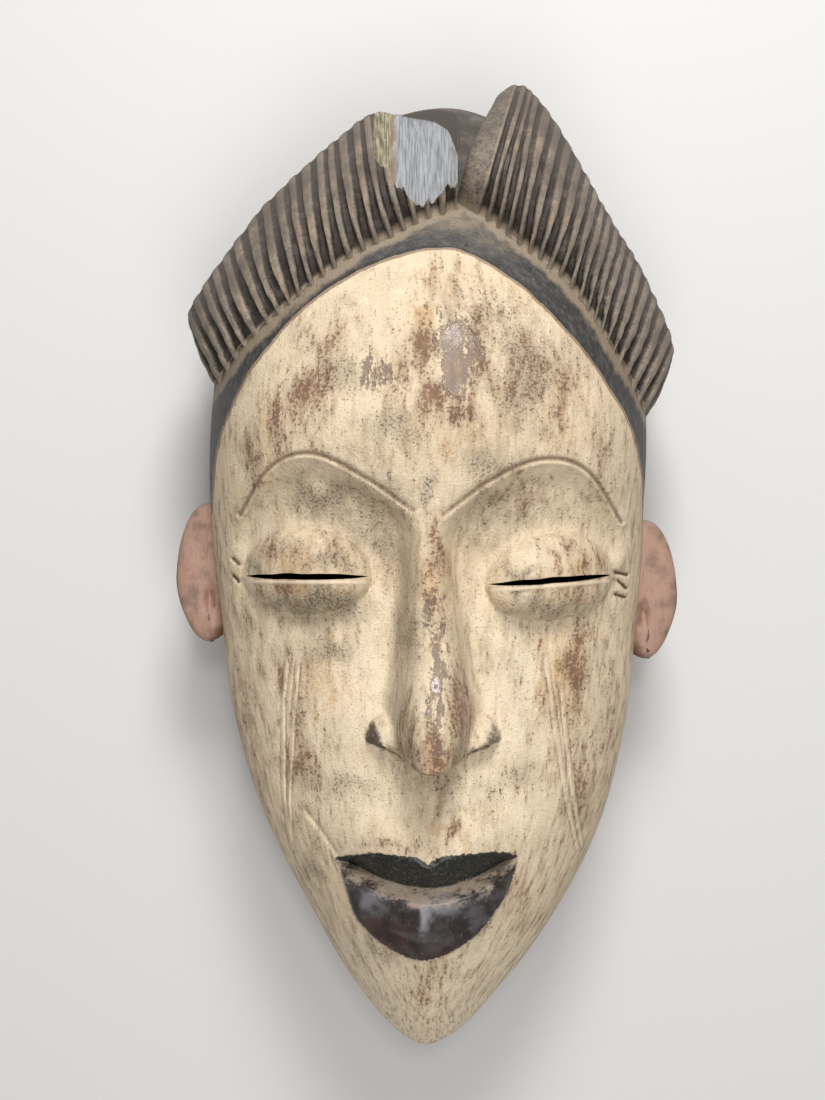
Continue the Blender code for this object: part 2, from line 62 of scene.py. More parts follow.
# Plain sizes of the carving, in drawn millimetres
WALL = 9.5
RIM = 8.5
SLIT_WIDTH = 1.8
SLIT_LENGTH = 38.6
FLUTE_DEPTH = 1.9
FLUTES_PER_LOBE = 21
EAR_LENGTH = 45.5
EAR_THICKNESS = 13.0

# Outline of the head seen from the front, clockwise from the crown
HEAD_CENTRE = (0.0, 10.0)
HEAD_OUTLINE = (
    (9, 152.5), (27, 146), (44, 133), (58, 112), (67, 88), (71, 58), (70.7, 24), (69.6, -2), (67.6, -23),
    (63.6, -54), (54.1, -85.6), (41.5, -109), (24, -132.7), (9, -148.3), (-0.5, -152.3), (-8.7, -148.3),
    (-22.4, -132.7), (-36.5, -109), (-49.2, -85.6), (-60.7, -54), (-66, -23), (-68.4, -2), (-70.5, 24),
    (-69.5, 58), (-65, 88), (-54, 113), (-38, 134), (-15, 148),
)
EDGE_HEIGHT = 37.0
SIDE_TAPER = 0.045
ROUNDING = (2.4, 2.2)
MIDLINE = (
    (-156, 100), (-130, 99), (-118, 97), (-92, 93), (-75, 90.5), (-58, 88), (-40, 86.5), (-20, 86.5),
    (0, 90), (20, 96.5), (40, 102.5), (60, 103.4), (98, 100), (130, 94), (157, 87),
)

# Features of the face
BROWS = (
    ((-57.5, 19), (-48.6, 31.8), (-35.8, 36.9), (-18.1, 29.3), (-4.5, 20)),
    ((4.1, 18.5), (17.5, 28.3), (34, 35.1), (48, 31.7), (59.8, 16.9)),
)
BROW_GROOVE = (0.62, 1.15)
BROW_LIP = (1.35, 0.5)
SOCKET_DEPTH = 4.6
SOCKET_FLOOR = -16.0
HOLLOWS = (
    (-13.5, 4, 6.5, 14, 3.0), (16.0, 3, 6.5, 14, 3.0), (-34, -13, 17, 5, 1.5), (35, -14, 17, 5, 1.5),
    (-12, -22, 5, 16, 1.4), (14.5, -22, 5, 16, 1.4), (-38, 18, 18, 5, 1.0), (38, 17, 18, 5, 1.0),
)
EYES = ((-37.0, 0.4, 20.2, 14.8, 11.2, 0.0), (37.4, -0.7, 20.0, 14.2, 12.2, 0.07))
LID_HEIGHT = 9.0
LID_EDGES = (0.66, 0.52)
LID_RIM = -1.7
EYE_CORNER_CUTS = (
    ((-60.4, 5.6), (-58.6, 4.0)), ((-60.4, 0.4), (-58.8, -1.4)),
    ((58.4, 1.4), (62.4, 0.6)), ((59.4, -1.2), (62.2, -3.6)), ((58.4, -5.4), (62.0, -6.4)),
)
CUT_SIZE = (0.7, 1.4)
NOSE_RIDGE = (
    (34, 0.0, 0.5, 9), (22, 0.0, 2.0, 8), (8, 0.2, 6.5, 7.4), (-8, 0.6, 11.5, 8.0), (-24, 1.3, 17.5, 9.6),
    (-38, 1.6, 24.0, 11.4), (-45, 1.5, 27.0, 11.0), (-50, 1.3, 28.0, 10.0), (-54, 1.1, 28.0, 8.6),
    (-57, 1.0, 28.0, 6.6), (-70, 1.0, 28.0, 5.0),
)
NOSE_BASE = -55.6
NOSTRIL_WINGS = ((-11.6, -48.2), (14.8, -48.6))
WING_MIDDLE = 1.6
WING_SIZE = (7.2, 8.0, 8.5, 8.0)
WING_BASE = (-55.6, 0.30)
WING_EDGE = 0.52
PHILTRUM = (-60.0, -83.5, 1.9, 1.7)
MUZZLE = (0.5, -92.0, 33.0, 27.0, 7.0)
LIP_SWELLS = ((-12.5, -77.5, 11.0, 5.5, 1.5), (13.5, -77.5, 11.0, 5.5, 1.5))
MOUTH_FOLD = ((-37.5, -71.6), (-32.5, -77.5), (-27.6, -84.0))
FOLD_SIZE = (0.7, 1.0)
LIP_TOP = (
    (-28.5, -85.4), (-26.3, -84.6), (-20.1, -82.9), (-14.2, -82.0), (-8.9, -82.4), (-3.2, -82.9),
    (0.2, -84.9), (3.2, -82.8), (7.1, -82.3), (15.4, -82.0), (23.1, -82.6), (27.2, -84.2),
)
LIP_PARTING = (
    (-28.5, -85.6), (-20.4, -88.4), (-14.4, -90.7), (-8.4, -92.2), (-2.3, -93.0), (3.7, -93.0),
    (9.7, -91.8), (15.7, -90.0), (21.7, -87.2), (27.2, -84.4),
)
LIP_BOTTOM = (
    (-28.5, -85.8), (-26.4, -89), (-24.8, -94), (-22.9, -100.6), (-19.8, -105.4), (-14.4, -109.9),
    (-8.4, -113.3), (-2.3, -114.8), (3.7, -113.9), (9.7, -110.8), (15.8, -106.4), (21.9, -98.4),
    (25.5, -92), (27.2, -86),
)
LIP_RECESS = 6.5
LOWER_LIP_HEIGHT = 5.4
LIP_POINT = (-2.6, -104.5)
LIP_FACETS = (2.6, 0.34, 0.26, 0.62, 0.42)
LIP_STEP = 2.4
CHEEK_SCARS = (
    ((-42.6, -22.6), (-44.3, -38), (-44.6, -66), (-42.6, -85)),
    ((-39.1, -22.5), (-41.1, -44), (-42.9, -69), (-42.2, -85)),
    ((35.8, -23.9), (39, -46.8), (43, -68.7), (47.9, -87.7)),
    ((40.2, -28), (42.5, -50), (45.4, -69), (48.9, -86)),
)
SCAR_SIZE = (0.38, 0.42)
SCAR_SIDE = (0.85, 0.35, 0.36)
HAIRLINE = (
    (-69, 20), (-66.5, 36), (-62.3, 47.6), (-50.9, 65.9), (-32, 84.2), (-12, 94.5), (7.4, 97.6),
    (22.6, 90.2), (38.5, 76.4), (53.4, 58.9), (65.2, 40), (68.5, 28), (70.5, 12),
)
BAND_STEP = 0.9
SCOOP = (8.5, 15.0, 0.12, 0.75)

# Fluted lobes. Each row is one flute's way: start at the band, control point, crest at the outline
RIGHT_LOBE = (
    ((7.6, 113.4), (11.8, 127.2, 103.5), (19.8, 148.6, 66)),
    ((14.6, 109.2), (18.8, 122.5, 104), (27.2, 153.2, 66)),
    ((25.9, 100.1), (28.7, 114.5, 104), (36.5, 147.0, 65)),
    ((37.6, 91.7), (42.1, 104.6, 100), (48.9, 128.3, 62)),
    ((47.6, 80.2), (51.4, 91.2, 95), (57.9, 113.0, 60)),
    ((57.7, 65.4), (62.5, 78.5, 86), (69.1, 95.8, 56)),
    ((65.3, 55.2), (70.6, 65.4, 73), (77.7, 78.2, 52)),
    ((70.9, 48.5), (76.1, 55.9, 58), (80.6, 69.1, 47)),
)
LEFT_LOBE = (
    ((9.6, 110.0), (10.2, 124.0, 104), (9.4, 149.0, 66)),
    ((2.0, 107.8), (-1.5, 122.0, 105), (-3.0, 149.5, 66)),
    ((-11.4, 100.8), (-17.2, 114.2, 105), (-19.1, 143.5, 65)),
    ((-20.8, 96.0), (-26.5, 107.2, 102), (-27.9, 137.2, 64)),
    ((-32.2, 88.4), (-37.4, 99.7, 99), (-39.9, 127.4, 62)),
    ((-41.8, 81.0), (-47.4, 91.6, 95), (-52.0, 116.2, 60)),
    ((-56.5, 68.5), (-63.6, 78.6, 85), (-69.1, 95.1, 56)),
    ((-63.2, 61.2), (-69.3, 70.6, 72), (-75.7, 85.9, 52)),
    ((-67.6, 56.8), (-73.0, 66.0, 58), (-78.2, 81.3, 47)),
)
LOBE_FOOT_HEIGHT = 20.0
LOBE_BACK_BULGE = 1.04
SUNK = 1.5
FOOT_INSET = 6.0
RIDGE_SHARE = (0.18, 0.28)
PLAIN_GROOVE = 0.42
LEFT_PLAIN, RIGHT_PLAIN = 0.0, 0.088
GROOVE_WALL = 0.14
FLUTE_FADE = ((0, 0.05, 0.3, 0.7, 1.0, 1.3, 2.0), (0.3, 1.0, 1.05, 0.6, 0.16, 0.1, 0.0))
END_ROUNDING = (0.045, 2.4)

# Split in the left lobe: lower edge of the missing splinter, its sides and the slope of what it left
SPLIT_EDGE = (
    (-16.4, 129), (-16.0, 126.5), (-12.9, 122), (-9.4, 115.8), (-7.4, 116.2), (-5.6, 112.2), (-1.2, 111),
    (0.2, 113.4), (1.4, 112), (4.6, 115.2), (6.0, 117.6), (7.0, 116.2), (9.2, 118.5), (9.6, 124),
)
SPLIT_TOP = 158.0
STUB_TOP = ((-16.4, 146.6), (-8, 145.6), (2.6, 142.0), (6.6, 138.4), (9.6, 128.0))
STUB_DROP = 2.6
SPLIT_HEIGHT = 87.0
SPLIT_SLOPE = (0.22, 0.80)
SPLIT_FLANK = (-11.0, 5.4, 4.2)

# Ears: centre and tilt, in millimetres and degrees
EARS = ((-70.2, 1.2, 41.0, -8.0), (70.2, -4.4, 41.0, 8.0))
EAR_REACH = 10.6
EAR_DISH = 5.0
EAR_SLANT = 2.6
EAR_GAP = (0.9, 1.3, 5.0)

# How finely each line and form is divided
BROW_POINTS, LIP_POINTS, HAIRLINE_POINTS = 30, 40, 60
FACE_CELLS = (280, 520)
SIDE_ROWS = 14
HOLLOW_CELLS = (90, 180)
SLIT_POINTS = 33
LOBE_ROWS = (34, 14)
COLUMNS_PER_FLUTE = 9
EAR_CELLS = (72, 22)
SPLIT_CELLS = (90, 70)
SLAB_DEPTH = 12.0
MOST_TRIANGLES = 190_000

# Paint and wear, with some painted shade and light, as patches on the face: place along X and Y, half width,
# half height and strength
BARE_WOOD = (
    (-3.2, 68, 4.0, 6.5, 1.0), (14.8, 66, 1.6, 12, 0.8), (0.9, 51.8, 3.8, 4.5, 1.0),
    (10.5, 47.5, 5, 3, 0.7), (-33.8, 56.7, 5, 7, 0.9), (-29, 69.6, 5.5, 4.5, 0.6), (-9.5, 60, 3, 6, 0.6),
    (-44.7, 44, 2.4, 8.5, 0.9), (-38, 54, 3, 9, 0.6), (39.6, 53.5, 4.5, 8, 0.6), (50.8, 36.5, 3, 10, 0.6),
    (28, 60, 10, 11, 0.45), (-53, 38, 2, 8, 0.7), (-44.7, 10.4, 5.5, 3.6, 0.6), (-31, 8, 6, 3, 0.5),
    (-42, -3, 7.5, 3, 0.7), (43.4, 10.2, 6, 3, 0.45), (45.5, 3.0, 6, 3, 0.55), (43.4, -3.8, 6.5, 4, 0.6),
    (9.3, -37, 4, 10, 0.9), (-4.5, -43, 3, 7, 0.6), (1.6, -50.3, 8, 5.5, 1.0), (1.8, 6.3, 4, 7, 0.45),
    (2.6, -10, 3.4, 9, 0.5), (-43.5, -30, 2.2, 10, 0.6), (-39.8, -52, 2.8, 14, 0.75),
    (45.6, -31, 3.4, 12, 0.9), (46.5, -62, 4, 14, 0.6), (34.3, -31, 2.6, 9, 0.5), (-54, -16, 1.8, 4, 0.6),
    (6.2, -73.2, 2.0, 2.2, 0.8), (27.9, -98, 3.4, 9, 0.5), (-0.5, -121, 5, 11, 0.42),
    (30.7, 24, 6, 3.5, 0.5), (5.7, 87, 7, 4, 0.35), (18.6, 78, 8, 5, 0.35), (-12, -79.5, 8, 1.4, 0.6),
    (-36, -43, 4, 12, 0.3), (55, 5, 3, 20, 0.3), (-57, -50, 5, 26, 0.3), (55, -50, 5, 22, 0.35),
)
# Soot and grime, with painted shade: the patches under the lower lids, in the inner eye corners and under
# the nose darken where shade falls
SOOT_AND_SHADE = (
    (28.3, 60.7, 9, 11, 0.8), (18.6, 78.4, 9, 5, 0.55), (-9.6, 43, 7, 5.5, 0.7), (-28, 60.7, 6.5, 5, 0.7),
    (17, 32.5, 7, 3, 0.6), (-32, 23.6, 9, 4, 0.8), (-18, 22, 9, 5, 0.6), (-28.9, 4.6, 7.5, 2.6, 0.8),
    (-31, -7.5, 10, 3.6, 1.0), (-42, -8.5, 6, 2.4, 0.8), (36, -9.5, 11, 2.6, 0.7),
    (-53, 3.6, 2.2, 3.2, 0.9), (27.6, 2.0, 6, 1.8, 0.7), (29.3, -2.6, 5, 2, 0.7),
    (-5.6, -15, 2.6, 9, 0.7), (-29, -22.8, 5.5, 4.5, 0.75), (-25.4, -63, 8, 3.6, 0.7),
    (24.7, -60, 5, 3.6, 0.7), (-15.9, -112.4, 4, 5, 0.6), (20.6, 24, 6, 3, 0.6), (31, 20, 14, 5, 0.45),
    (-0.2, 26.9, 1.5, 7, 0.8), (-53.5, 31, 2, 9, 0.6), (38, -10.5, 14, 3, 0.45),
    (-35.8, -86, 3, 14, 0.45), (-24, 14, 10, 8, 0.4), (14, 6, 4, 12, 0.3), (-12, 8, 4, 14, 0.45),
    (3, -63, 16, 5, 0.4),
)
OCHRE = (
    (-2.4, 77.6, 3.5, 6, 0.9), (-13, 57, 4, 8, 0.5), (39, 50, 7, 12, 0.5), (-31, -30, 6, 11, 0.75),
    (46.7, 3.8, 6, 4, 0.7), (43, -3.5, 8, 5, 0.6), (1.6, -55, 5, 3.4, 1.0), (1.8, 3, 5, 10, 0.6),
    (1.2, -72, 2.5, 8, 0.6), (-36, -3.5, 6, 3, 0.8), (43, -30, 4.5, 13, 0.9), (34.5, -31, 3, 10, 0.7),
    (0.8, -121, 6, 13, 0.5), (-36, 5, 12, 6, 0.7), (5.7, 87, 10, 5, 0.5), (30, 84, 14, 5, 0.4),
    (10.5, -74, 9, 5, 0.4), (-10, -74, 9, 5, 0.35), (28, -97, 6, 14, 0.35), (0, 98, 60, 3, 0.25),
    (4, 42, 24, 10, 0.45), (-48, 40, 6, 16, 0.4),
)
# Fresh, thicker pale kaolin; the patches on the chin are painted light, paler where the chin turns away from
# the lamps
FRESH_AND_LIT = (
    (0, -130, 24, 20, 1.0), (-22, -34, 12, 14, 0.8), (24, -36, 12, 14, 0.8), (12, -72, 14, 8, 0.7),
    (-14, -70, 12, 6, 0.5), (0, -118, 34, 8, 0.8),
)
POLISHED = (
    (8.6, 60.5, 4.2, 8.6, 1.1), (7.5, 72, 6.6, 5.6, 1.0), (13.4, 66, 1.8, 12, 0.85),
    (-16, 59.5, 6.5, 3.8, 0.75), (2.8, -24, 2.3, 22, 0.85), (3.2, -40, 3.2, 9, 0.75),
    (9.4, 46.6, 4, 2, 0.5), (-28.5, 62, 5, 3, 0.35),
)
# Blue-grey patina on the lower lip, with painted reflection: its pale patches stand where the lip's facets
# mirror the lamps
LIP_PATINA_AND_REFLECTION = (
    (-18, -97, 4.5, 3.6, 1.0), (-0.6, -98, 1.6, 7, 1.0), (4.6, -96.5, 4.5, 3.4, 0.9), (12, -101, 3, 3, 0.4),
)
LIP_WEAR = ((-12, -107, 8, 4, 1.0), (4, -112, 8, 2.5, 0.6), (-20, -98, 3, 6, 0.3))
WING_PAINT = (14.6, 0.45, -45.5)
PATCH_SPREAD = 1.25
PATCH_DRIFT = (2.4, 1.0)
VALLEY_DUST = ((9.5, 108.5, 8, 4.5, 0.95), (19, 101, 8, 3, 0.5), (-6, 104.5, 9, 2.0, 0.4))

# Colours, as shares of red, green and blue light sent back
CREAM = (0.64, 0.52, 0.362)
PALE_CREAM = (0.73, 0.61, 0.445)
GREY_CREAM = (0.33, 0.265, 0.178)
OCHRE_STAIN = (0.50, 0.29, 0.115)
BROWN_WOOD = (0.135, 0.064, 0.034)
RED_WOOD = (0.21, 0.098, 0.057)
THIN_BROWN = (0.29, 0.185, 0.108)
STREAK_BROWN = (0.17, 0.115, 0.072)
TAN = (0.46, 0.335, 0.20)
PURPLE_POLISH = (0.175, 0.125, 0.115)
BROWN_POLISH = (0.26, 0.165, 0.115)
SOOT_BLACK = (0.060, 0.043, 0.029)
# Black of the nostril wings, also used for painted shadow under them and painted shade in the eye-corner
# cuts
WING_AND_SHADE_BLACK = (0.040, 0.026, 0.022)
LOBE_BROWN = (0.105, 0.080, 0.064)
CHARCOAL = (0.036, 0.034, 0.032)
CHARCOAL_PALE = (0.094, 0.087, 0.078)
DUST = (0.27, 0.21, 0.145)
DUST_GREY = (0.185, 0.155, 0.125)
GROOVE_BLACK = (0.020, 0.014, 0.010)
GROOVE_GREY = (0.058, 0.046, 0.038)
DOME_BROWN = (0.060, 0.048, 0.040)
LIP_BLACK = (0.018, 0.021, 0.020)
LIP_GREY = (0.080, 0.072, 0.076)
LIP_DARK = (0.026, 0.020, 0.018)
LIP_BLUE = (0.20, 0.195, 0.215)
LIP_OLIVE = (0.085, 0.075, 0.045)
LIP_RED = (0.060, 0.024, 0.017)
LIP_DUST = (0.31, 0.245, 0.18)
EAR_PINK = (0.34, 0.205, 0.152)
EAR_DARK = (0.20, 0.125, 0.092)
SPLIT_GREY = (0.37, 0.375, 0.385)
SPLIT_DARK = (0.15, 0.155, 0.165)
SPLIT_YELLOW = (0.40, 0.365, 0.225)
SPLIT_OLIVE = (0.15, 0.13, 0.088)
SPLIT_ORANGE = (0.26, 0.14, 0.075)
HOLLOW_BROWN = (0.115, 0.062, 0.032)
HOLLOW_PALE = (0.24, 0.145, 0.078)

# The floor, in metres, and the lens: focal length and picture height in pixels, sensor height in mm
FLOOR_SIZE = 6.0
FLOOR_GREY = (0.60, 0.59, 0.575)
FOCAL_PIXELS, PICTURE_PIXELS, SENSOR = 1652, 1100, 36.0
SHARP_ANGLE = 55


def spline(knots, at):
    """Value at each place of a smooth curve through knots (place, value...), with places rising.

    Each span is a cubic whose slope at a knot is the mean slope of its two neighbours.
    """
    knots = np.asarray(knots, float)
    place, value = knots[:, 0], knots[:, 1:]
    rise = np.diff(value, axis=0) / np.diff(place)[:, None]
    slope = np.vstack([rise[:1], 0.5 * (rise[1:] + rise[:-1]), rise[-1:]])
    flat = np.clip(np.ravel(at), place[0], place[-1])
    span = np.clip(np.searchsorted(place, flat, side="right") - 1, 0, len(place) - 2)
    width = (place[span + 1] - place[span])[:, None]
    t = (flat - place[span])[:, None] / width
    found = (
        (2 * t**3 - 3 * t**2 + 1) * value[span]
        + (t**3 - 2 * t**2 + t) * width * slope[span]
        + (3 * t**2 - 2 * t**3) * value[span + 1]
        + (t**3 - t**2) * width * slope[span + 1]
    )
    found = found[:, 0] if found.shape[1] == 1 else found
    return found.reshape(np.shape(at) + found.shape[1:])


def ease(x):
    """0 below 0, 1 above 1, and 3x^2 - 2x^3 between, a smooth S."""
    x = np.clip(x, 0.0, 1.0)
    return x * x * (3 - 2 * x)


def bell(off, half):
    """exp(-(off / half)^2): 1 where off is 0, fading out on both sides."""
    return np.exp(-((off / half) ** 2))


def bump(x, y, cx, cy, wide, tall):
    """A bell over the plane, around (cx, cy), with a half size along X and another along Y."""
    return np.exp(-(((x - cx) / wide) ** 2) - ((y - cy) / tall) ** 2)


def soft_max(a, b, blend):
    """The larger of two heights, with the crease between them rounded over a height of blend."""
    return 0.5 * (a + b + np.sqrt((a - b) ** 2 + blend**2) - blend)


def uneven(places, sizes, seed):
    """Smooth unevenness from -1 to 1: random heights on a lattice of the given cells, eased between."""
    scaled = places / np.asarray(sizes, float)
    cell = np.floor(scaled).astype(np.int64)
    share = ease(scaled - cell)
    total = np.zeros(scaled.shape[:-1])
    for corner in product((0, 1), repeat=scaled.shape[-1]):
        at = cell + corner
        mixed = np.full(total.shape, seed * 7919 + 17, np.int64)
        for axis, prime in zip(range(scaled.shape[-1]), (73856093, 19349663, 83492791)):
            mixed ^= at[..., axis] * prime
        mixed = ((mixed ^ (mixed >> 13)) * 1274126177) & 0xFFFFFFFF
        height = ((mixed ^ (mixed >> 16)) & 0xFFFF) / 32767.5 - 1
        total += height * np.prod(np.where(corner, share, 1 - share), axis=-1)
    return total


def distance_to_line(x, y, points):
    """Distance from (x, y) to an open line through points, as straight spans."""
    nearest = np.full(np.shape(x), np.inf)
    for (ax, ay), (bx, by) in zip(points[:-1], points[1:]):
        dx, dy = bx - ax, by - ay
        t = np.clip(((x - ax) * dx + (y - ay) * dy) / (dx * dx + dy * dy), 0, 1)
        nearest = np.minimum(nearest, np.hypot(x - ax - t * dx, y - ay - t * dy))
    return nearest


def distance_to_lines(x, y, lines):
    """Distance from (x, y) to the nearest of several lines."""
    return np.min([distance_to_line(x, y, line) for line in lines], axis=0)


def curve_points(knots, count):
    """Points, evenly spaced along X, of the smooth curve y(x) through knots."""
    x = np.linspace(knots[0][0], knots[-1][0], count)
    return np.column_stack([x, spline(knots, x)])


def outline_radius(angle):
    """Distance from the head's centre to its outline, at an angle from +X."""
    points = np.asarray(HEAD_OUTLINE, float) - HEAD_CENTRE
    turn = np.arctan2(points[:, 1], points[:, 0])
    order = np.argsort(turn)
    turn, reach = turn[order], np.hypot(points[order, 0], points[order, 1])
    knots = np.column_stack([np.concatenate([turn - 2 * np.pi, turn, turn + 2 * np.pi]), np.tile(reach, 3)])
    return spline(knots, angle)


def share_out(x, y, inset=0.0):
    """0 at the head's centre and 1 at its outline, drawn in by inset."""
    dx, dy = x - HEAD_CENTRE[0], y - HEAD_CENTRE[1]
    return np.hypot(dx, dy) / (outline_radius(np.arctan2(dy, dx)) - inset)


def half_width(y):
    """Half the head's width at a height, never under 14 mm, so that streaks can follow the outline."""
    right = np.array(HEAD_OUTLINE[1:13], float)[::-1, ::-1]
    return np.maximum(spline(right, y), 14.0)


def rounding(share):
    """1 at the middle and 0 at the outline, as (1 - share^a)^(1/b): a dome that ends steeply."""
    return (1 - np.clip(share, 0, 1) ** ROUNDING[0]) ** (1 / ROUNDING[1])


def head_height(x, y):
    """The head's plain egg: the middle line's height, rounded off to the edge height at the outline."""
    return EDGE_HEIGHT + (spline(MIDLINE, y) - EDGE_HEIGHT) * rounding(share_out(x, y))


def above_hairline(x, y):
    """Distance to the hairline, counted positive above it."""
    off = distance_to_line(x, y, curve_points(HAIRLINE, HAIRLINE_POINTS))
    return np.where(y > spline(HAIRLINE, x), off, -off)


def inside_lips(x, y):
    """Distance to the edge of the painted lips, counted positive inside."""
    off = distance_to_lines(x, y, [curve_points(line, LIP_POINTS) for line in (LIP_TOP, LIP_BOTTOM)])
    between = (y < spline(LIP_TOP, x)) & (y > spline(LIP_BOTTOM, x))
    within = (x > LIP_TOP[0][0]) & (x < LIP_TOP[-1][0])
    return np.where(between & within, off, -off)


def brow_relief(x, y):
    """Sockets cut back under each brow line, which is a groove with a raised lower edge."""
    z = np.zeros(np.shape(x))
    for side, brow in zip((-1, 1), BROWS):
        drop = spline(brow, x) - y
        inside = ease((x * side - 1.0) / 9.0) * ease((62.0 - x * side) / 8.0)
        floor = ease((y - SOCKET_FLOOR) / 26.0)
        z -= SOCKET_DEPTH * inside * floor * ease(drop / 9.0)
        off = distance_to_line(x, y, curve_points(brow, BROW_POINTS))
        z -= BROW_GROOVE[1] * bell(off, BROW_GROOVE[0])
        below = np.where(drop > 0, off, 9.0)
        z += BROW_LIP[1] * bell(below - BROW_LIP[0], 0.8)
    for *place, deep in HOLLOWS:
        z -= deep * bump(x, y, *place)
    return z


def lid_relief(x, y):
    """Closed lids: a half ellipse above each slit and a shallower one below, both with a firm edge."""
    z = np.zeros(np.shape(x))
    for cx, cy, half, above, below, tilt in EYES:
        dx = x - cx
        dy = y - cy - tilt * dx
        reach = np.where(dy > 0, above, below)
        inside = 1 - (dx / half) ** 2 - (dy / reach) ** 2
        z += LID_HEIGHT * np.clip(inside, 0, 1) ** np.where(dy > 0, *LID_EDGES)
        rim = bell(dy - LID_RIM, 0.55) * ease((half - 1.5 - np.abs(dx)) / 3.0)
        z += 0.35 * rim
    for line in EYE_CORNER_CUTS:
        z -= CUT_SIZE[1] * bell(distance_to_line(x, y, line), CUT_SIZE[0])
    return z


def nose_relief(x, y):
    """A rounded ridge that grows to the tip and ends in a firm underside, with a wing at each side."""
    rows = np.asarray(NOSE_RIDGE)[::-1]
    middle, height, half = np.moveaxis(spline(rows, y), -1, 0)
    across = np.abs(x - middle) / half
    under = ease((y - NOSE_BASE - 2.0 * across**2 + 3.0) / 3.4)
    z = height * np.exp(-(across**3.8)) * under
    wide, above, below, high = WING_SIZE
    base = WING_BASE[0] + WING_BASE[1] * np.abs(x - WING_MIDDLE)
    for cx, cy in NOSTRIL_WINGS:
        reach = np.where(y > cy, above, below)
        inside = 1 - ((x - cx) / wide) ** 2 - ((y - cy) / reach) ** 2
        wing = high * np.clip(inside, 0, 1) ** WING_EDGE * ease((y - base) / 1.5)
        z = soft_max(z, wing, 1.3)
    return z


def mouth_relief(x, y):
    """The muzzle's swell, the groove above the lips, the recessed upper lip and the jutting lower lip."""
    z = sum(high * bump(x, y, *place) for *place, high in (MUZZLE, *LIP_SWELLS))
    top, bottom, half, deep = PHILTRUM
    window = ease((top - y) / 8.0) * ease((y - bottom + 3) / 3.0)
    z -= deep * window * bell(x - 1.0, half)
    z -= FOLD_SIZE[1] * bell(distance_to_line(x, y, MOUTH_FOLD), FOLD_SIZE[0])
    upper, parting, lower = (spline(line, x) for line in (LIP_TOP, LIP_PARTING, LIP_BOTTOM))
    within = ease((x - LIP_TOP[0][0]) / 5.0) * ease((LIP_TOP[-1][0] - x) / 5.0)
    cut = np.clip((upper - y) / np.maximum(upper - parting, 0.4), 0, 1)
    upper_lip = 0.5 * ease(cut / 0.12) * ease((0.5 - cut) / 0.4) - LIP_RECESS * cut**1.25
    dx, dy = x - LIP_POINT[0], y - LIP_POINT[1]
    inner, front, keel, under, right = LIP_FACETS
    facets = LOWER_LIP_HEIGHT - front * np.maximum(dy, -30) - keel * np.abs(dx)
    lower_facet = LOWER_LIP_HEIGHT - 0.5 * keel * np.abs(dx) + under * (dy + 0.2 * np.minimum(dx, 0))
    facets = np.minimum(facets, lower_facet)
    facets = np.minimum(facets, LOWER_LIP_HEIGHT - right * (0.73 * dx - 0.68 * dy))
    rest = np.minimum(np.maximum(facets, LIP_STEP), inner * (parting - y) - LIP_RECESS)
    lower_lip = rest * (1 - ease((lower - y) / 1.2))
    lips = np.where(y > parting, upper_lip, lower_lip)
    return z + within * np.where(y < upper, lips, 0.0)


def scars_at(x, y):
    """Distance to each scar's line, with a share that fades out at the scar's ends."""
    for line in CHEEK_SCARS:
        fade = ease((line[0][1] + 1.0 - y) / 6.0) * ease((y - line[-1][1] + 1.0) / 4.0)
        yield distance_to_line(x, y, line), fade


def scar_relief(x, y):
    """Raised scars, each a thin welt between two finer cuts."""
    half, high = SCAR_SIZE
    beside, side_half, side_deep = SCAR_SIDE
    z = np.zeros(np.shape(x))
    for off, fade in scars_at(x, y):
        cuts = side_deep * bell(off - beside, side_half)
        z += fade * (high * bell(off, half) - cuts)
    return z


def knife_relief(x, y):
    """What the knife left: broad shallow facets, and finer ripples that run down the cheeks."""
    places = np.stack([x, y], -1)
    broad = 0.26 * uneven(places, (11, 14), 1) + 0.12 * uneven(places, (5, 6.5), 2)
    side = ease((np.abs(x) - 30) / 15)
    return broad + 0.10 * side * uneven(places, (1.8, 11), 3) + 0.05 * uneven(places, (2.2, 2.6), 4)


def face_height(x, y):
    """Height of the front: the egg, every feature of the face, the band's step and the knife's marks."""
    z = head_height(x, y) + brow_relief(x, y) + lid_relief(x, y) + nose_relief(x, y)
    z += mouth_relief(x, y) + scar_relief(x, y)
    above = above_hairline(x, y) + 0.25 * uneven(np.stack([x, y], -1), (2.5, 2.5), 5)
    z -= BAND_STEP * ease(above / 0.9)
    near_edge = ease((1 - share_out(x, y)) / 0.03)
    return z + near_edge * knife_relief(x, y)


def egg_grid(cells, inset=0.0):
    """Places inside the head's outline, on a square grid bent to fill it and drawn closer near the edge.

    The square becomes a disc by x = u * sqrt(1 - v*v/2) and y = v * sqrt(1 - u*u/2). A disc radius r under
    0.694 grows 1.2 times, and beyond it becomes 1 - 2.26 * (1 - r) ** 2.2, so that it ends at the outline.
    """
    u, v = np.meshgrid(np.linspace(-1, 1, cells[0] + 1), np.linspace(-1, 1, cells[1] + 1))
    x, y = u * np.sqrt(1 - v * v / 2), v * np.sqrt(1 - u * u / 2)
    r = np.clip(np.hypot(x, y), 1e-9, 1.0)
    spread = np.where(r < 0.694, 1.2 * r, 1 - 2.262 * (1 - r) ** 2.2)
    turn = np.arctan2(y, x)
    reach = spread * (outline_radius(turn) - inset)
    return HEAD_CENTRE[0] + reach * np.cos(turn), HEAD_CENTRE[1] + reach * np.sin(turn)


def border(grid):
    """The outer ring of a grid, anticlockwise, without repeating its first place."""
    return np.concatenate([grid[0, :-1], grid[:-1, -1], grid[-1, :0:-1], grid[:0:-1, 0]])


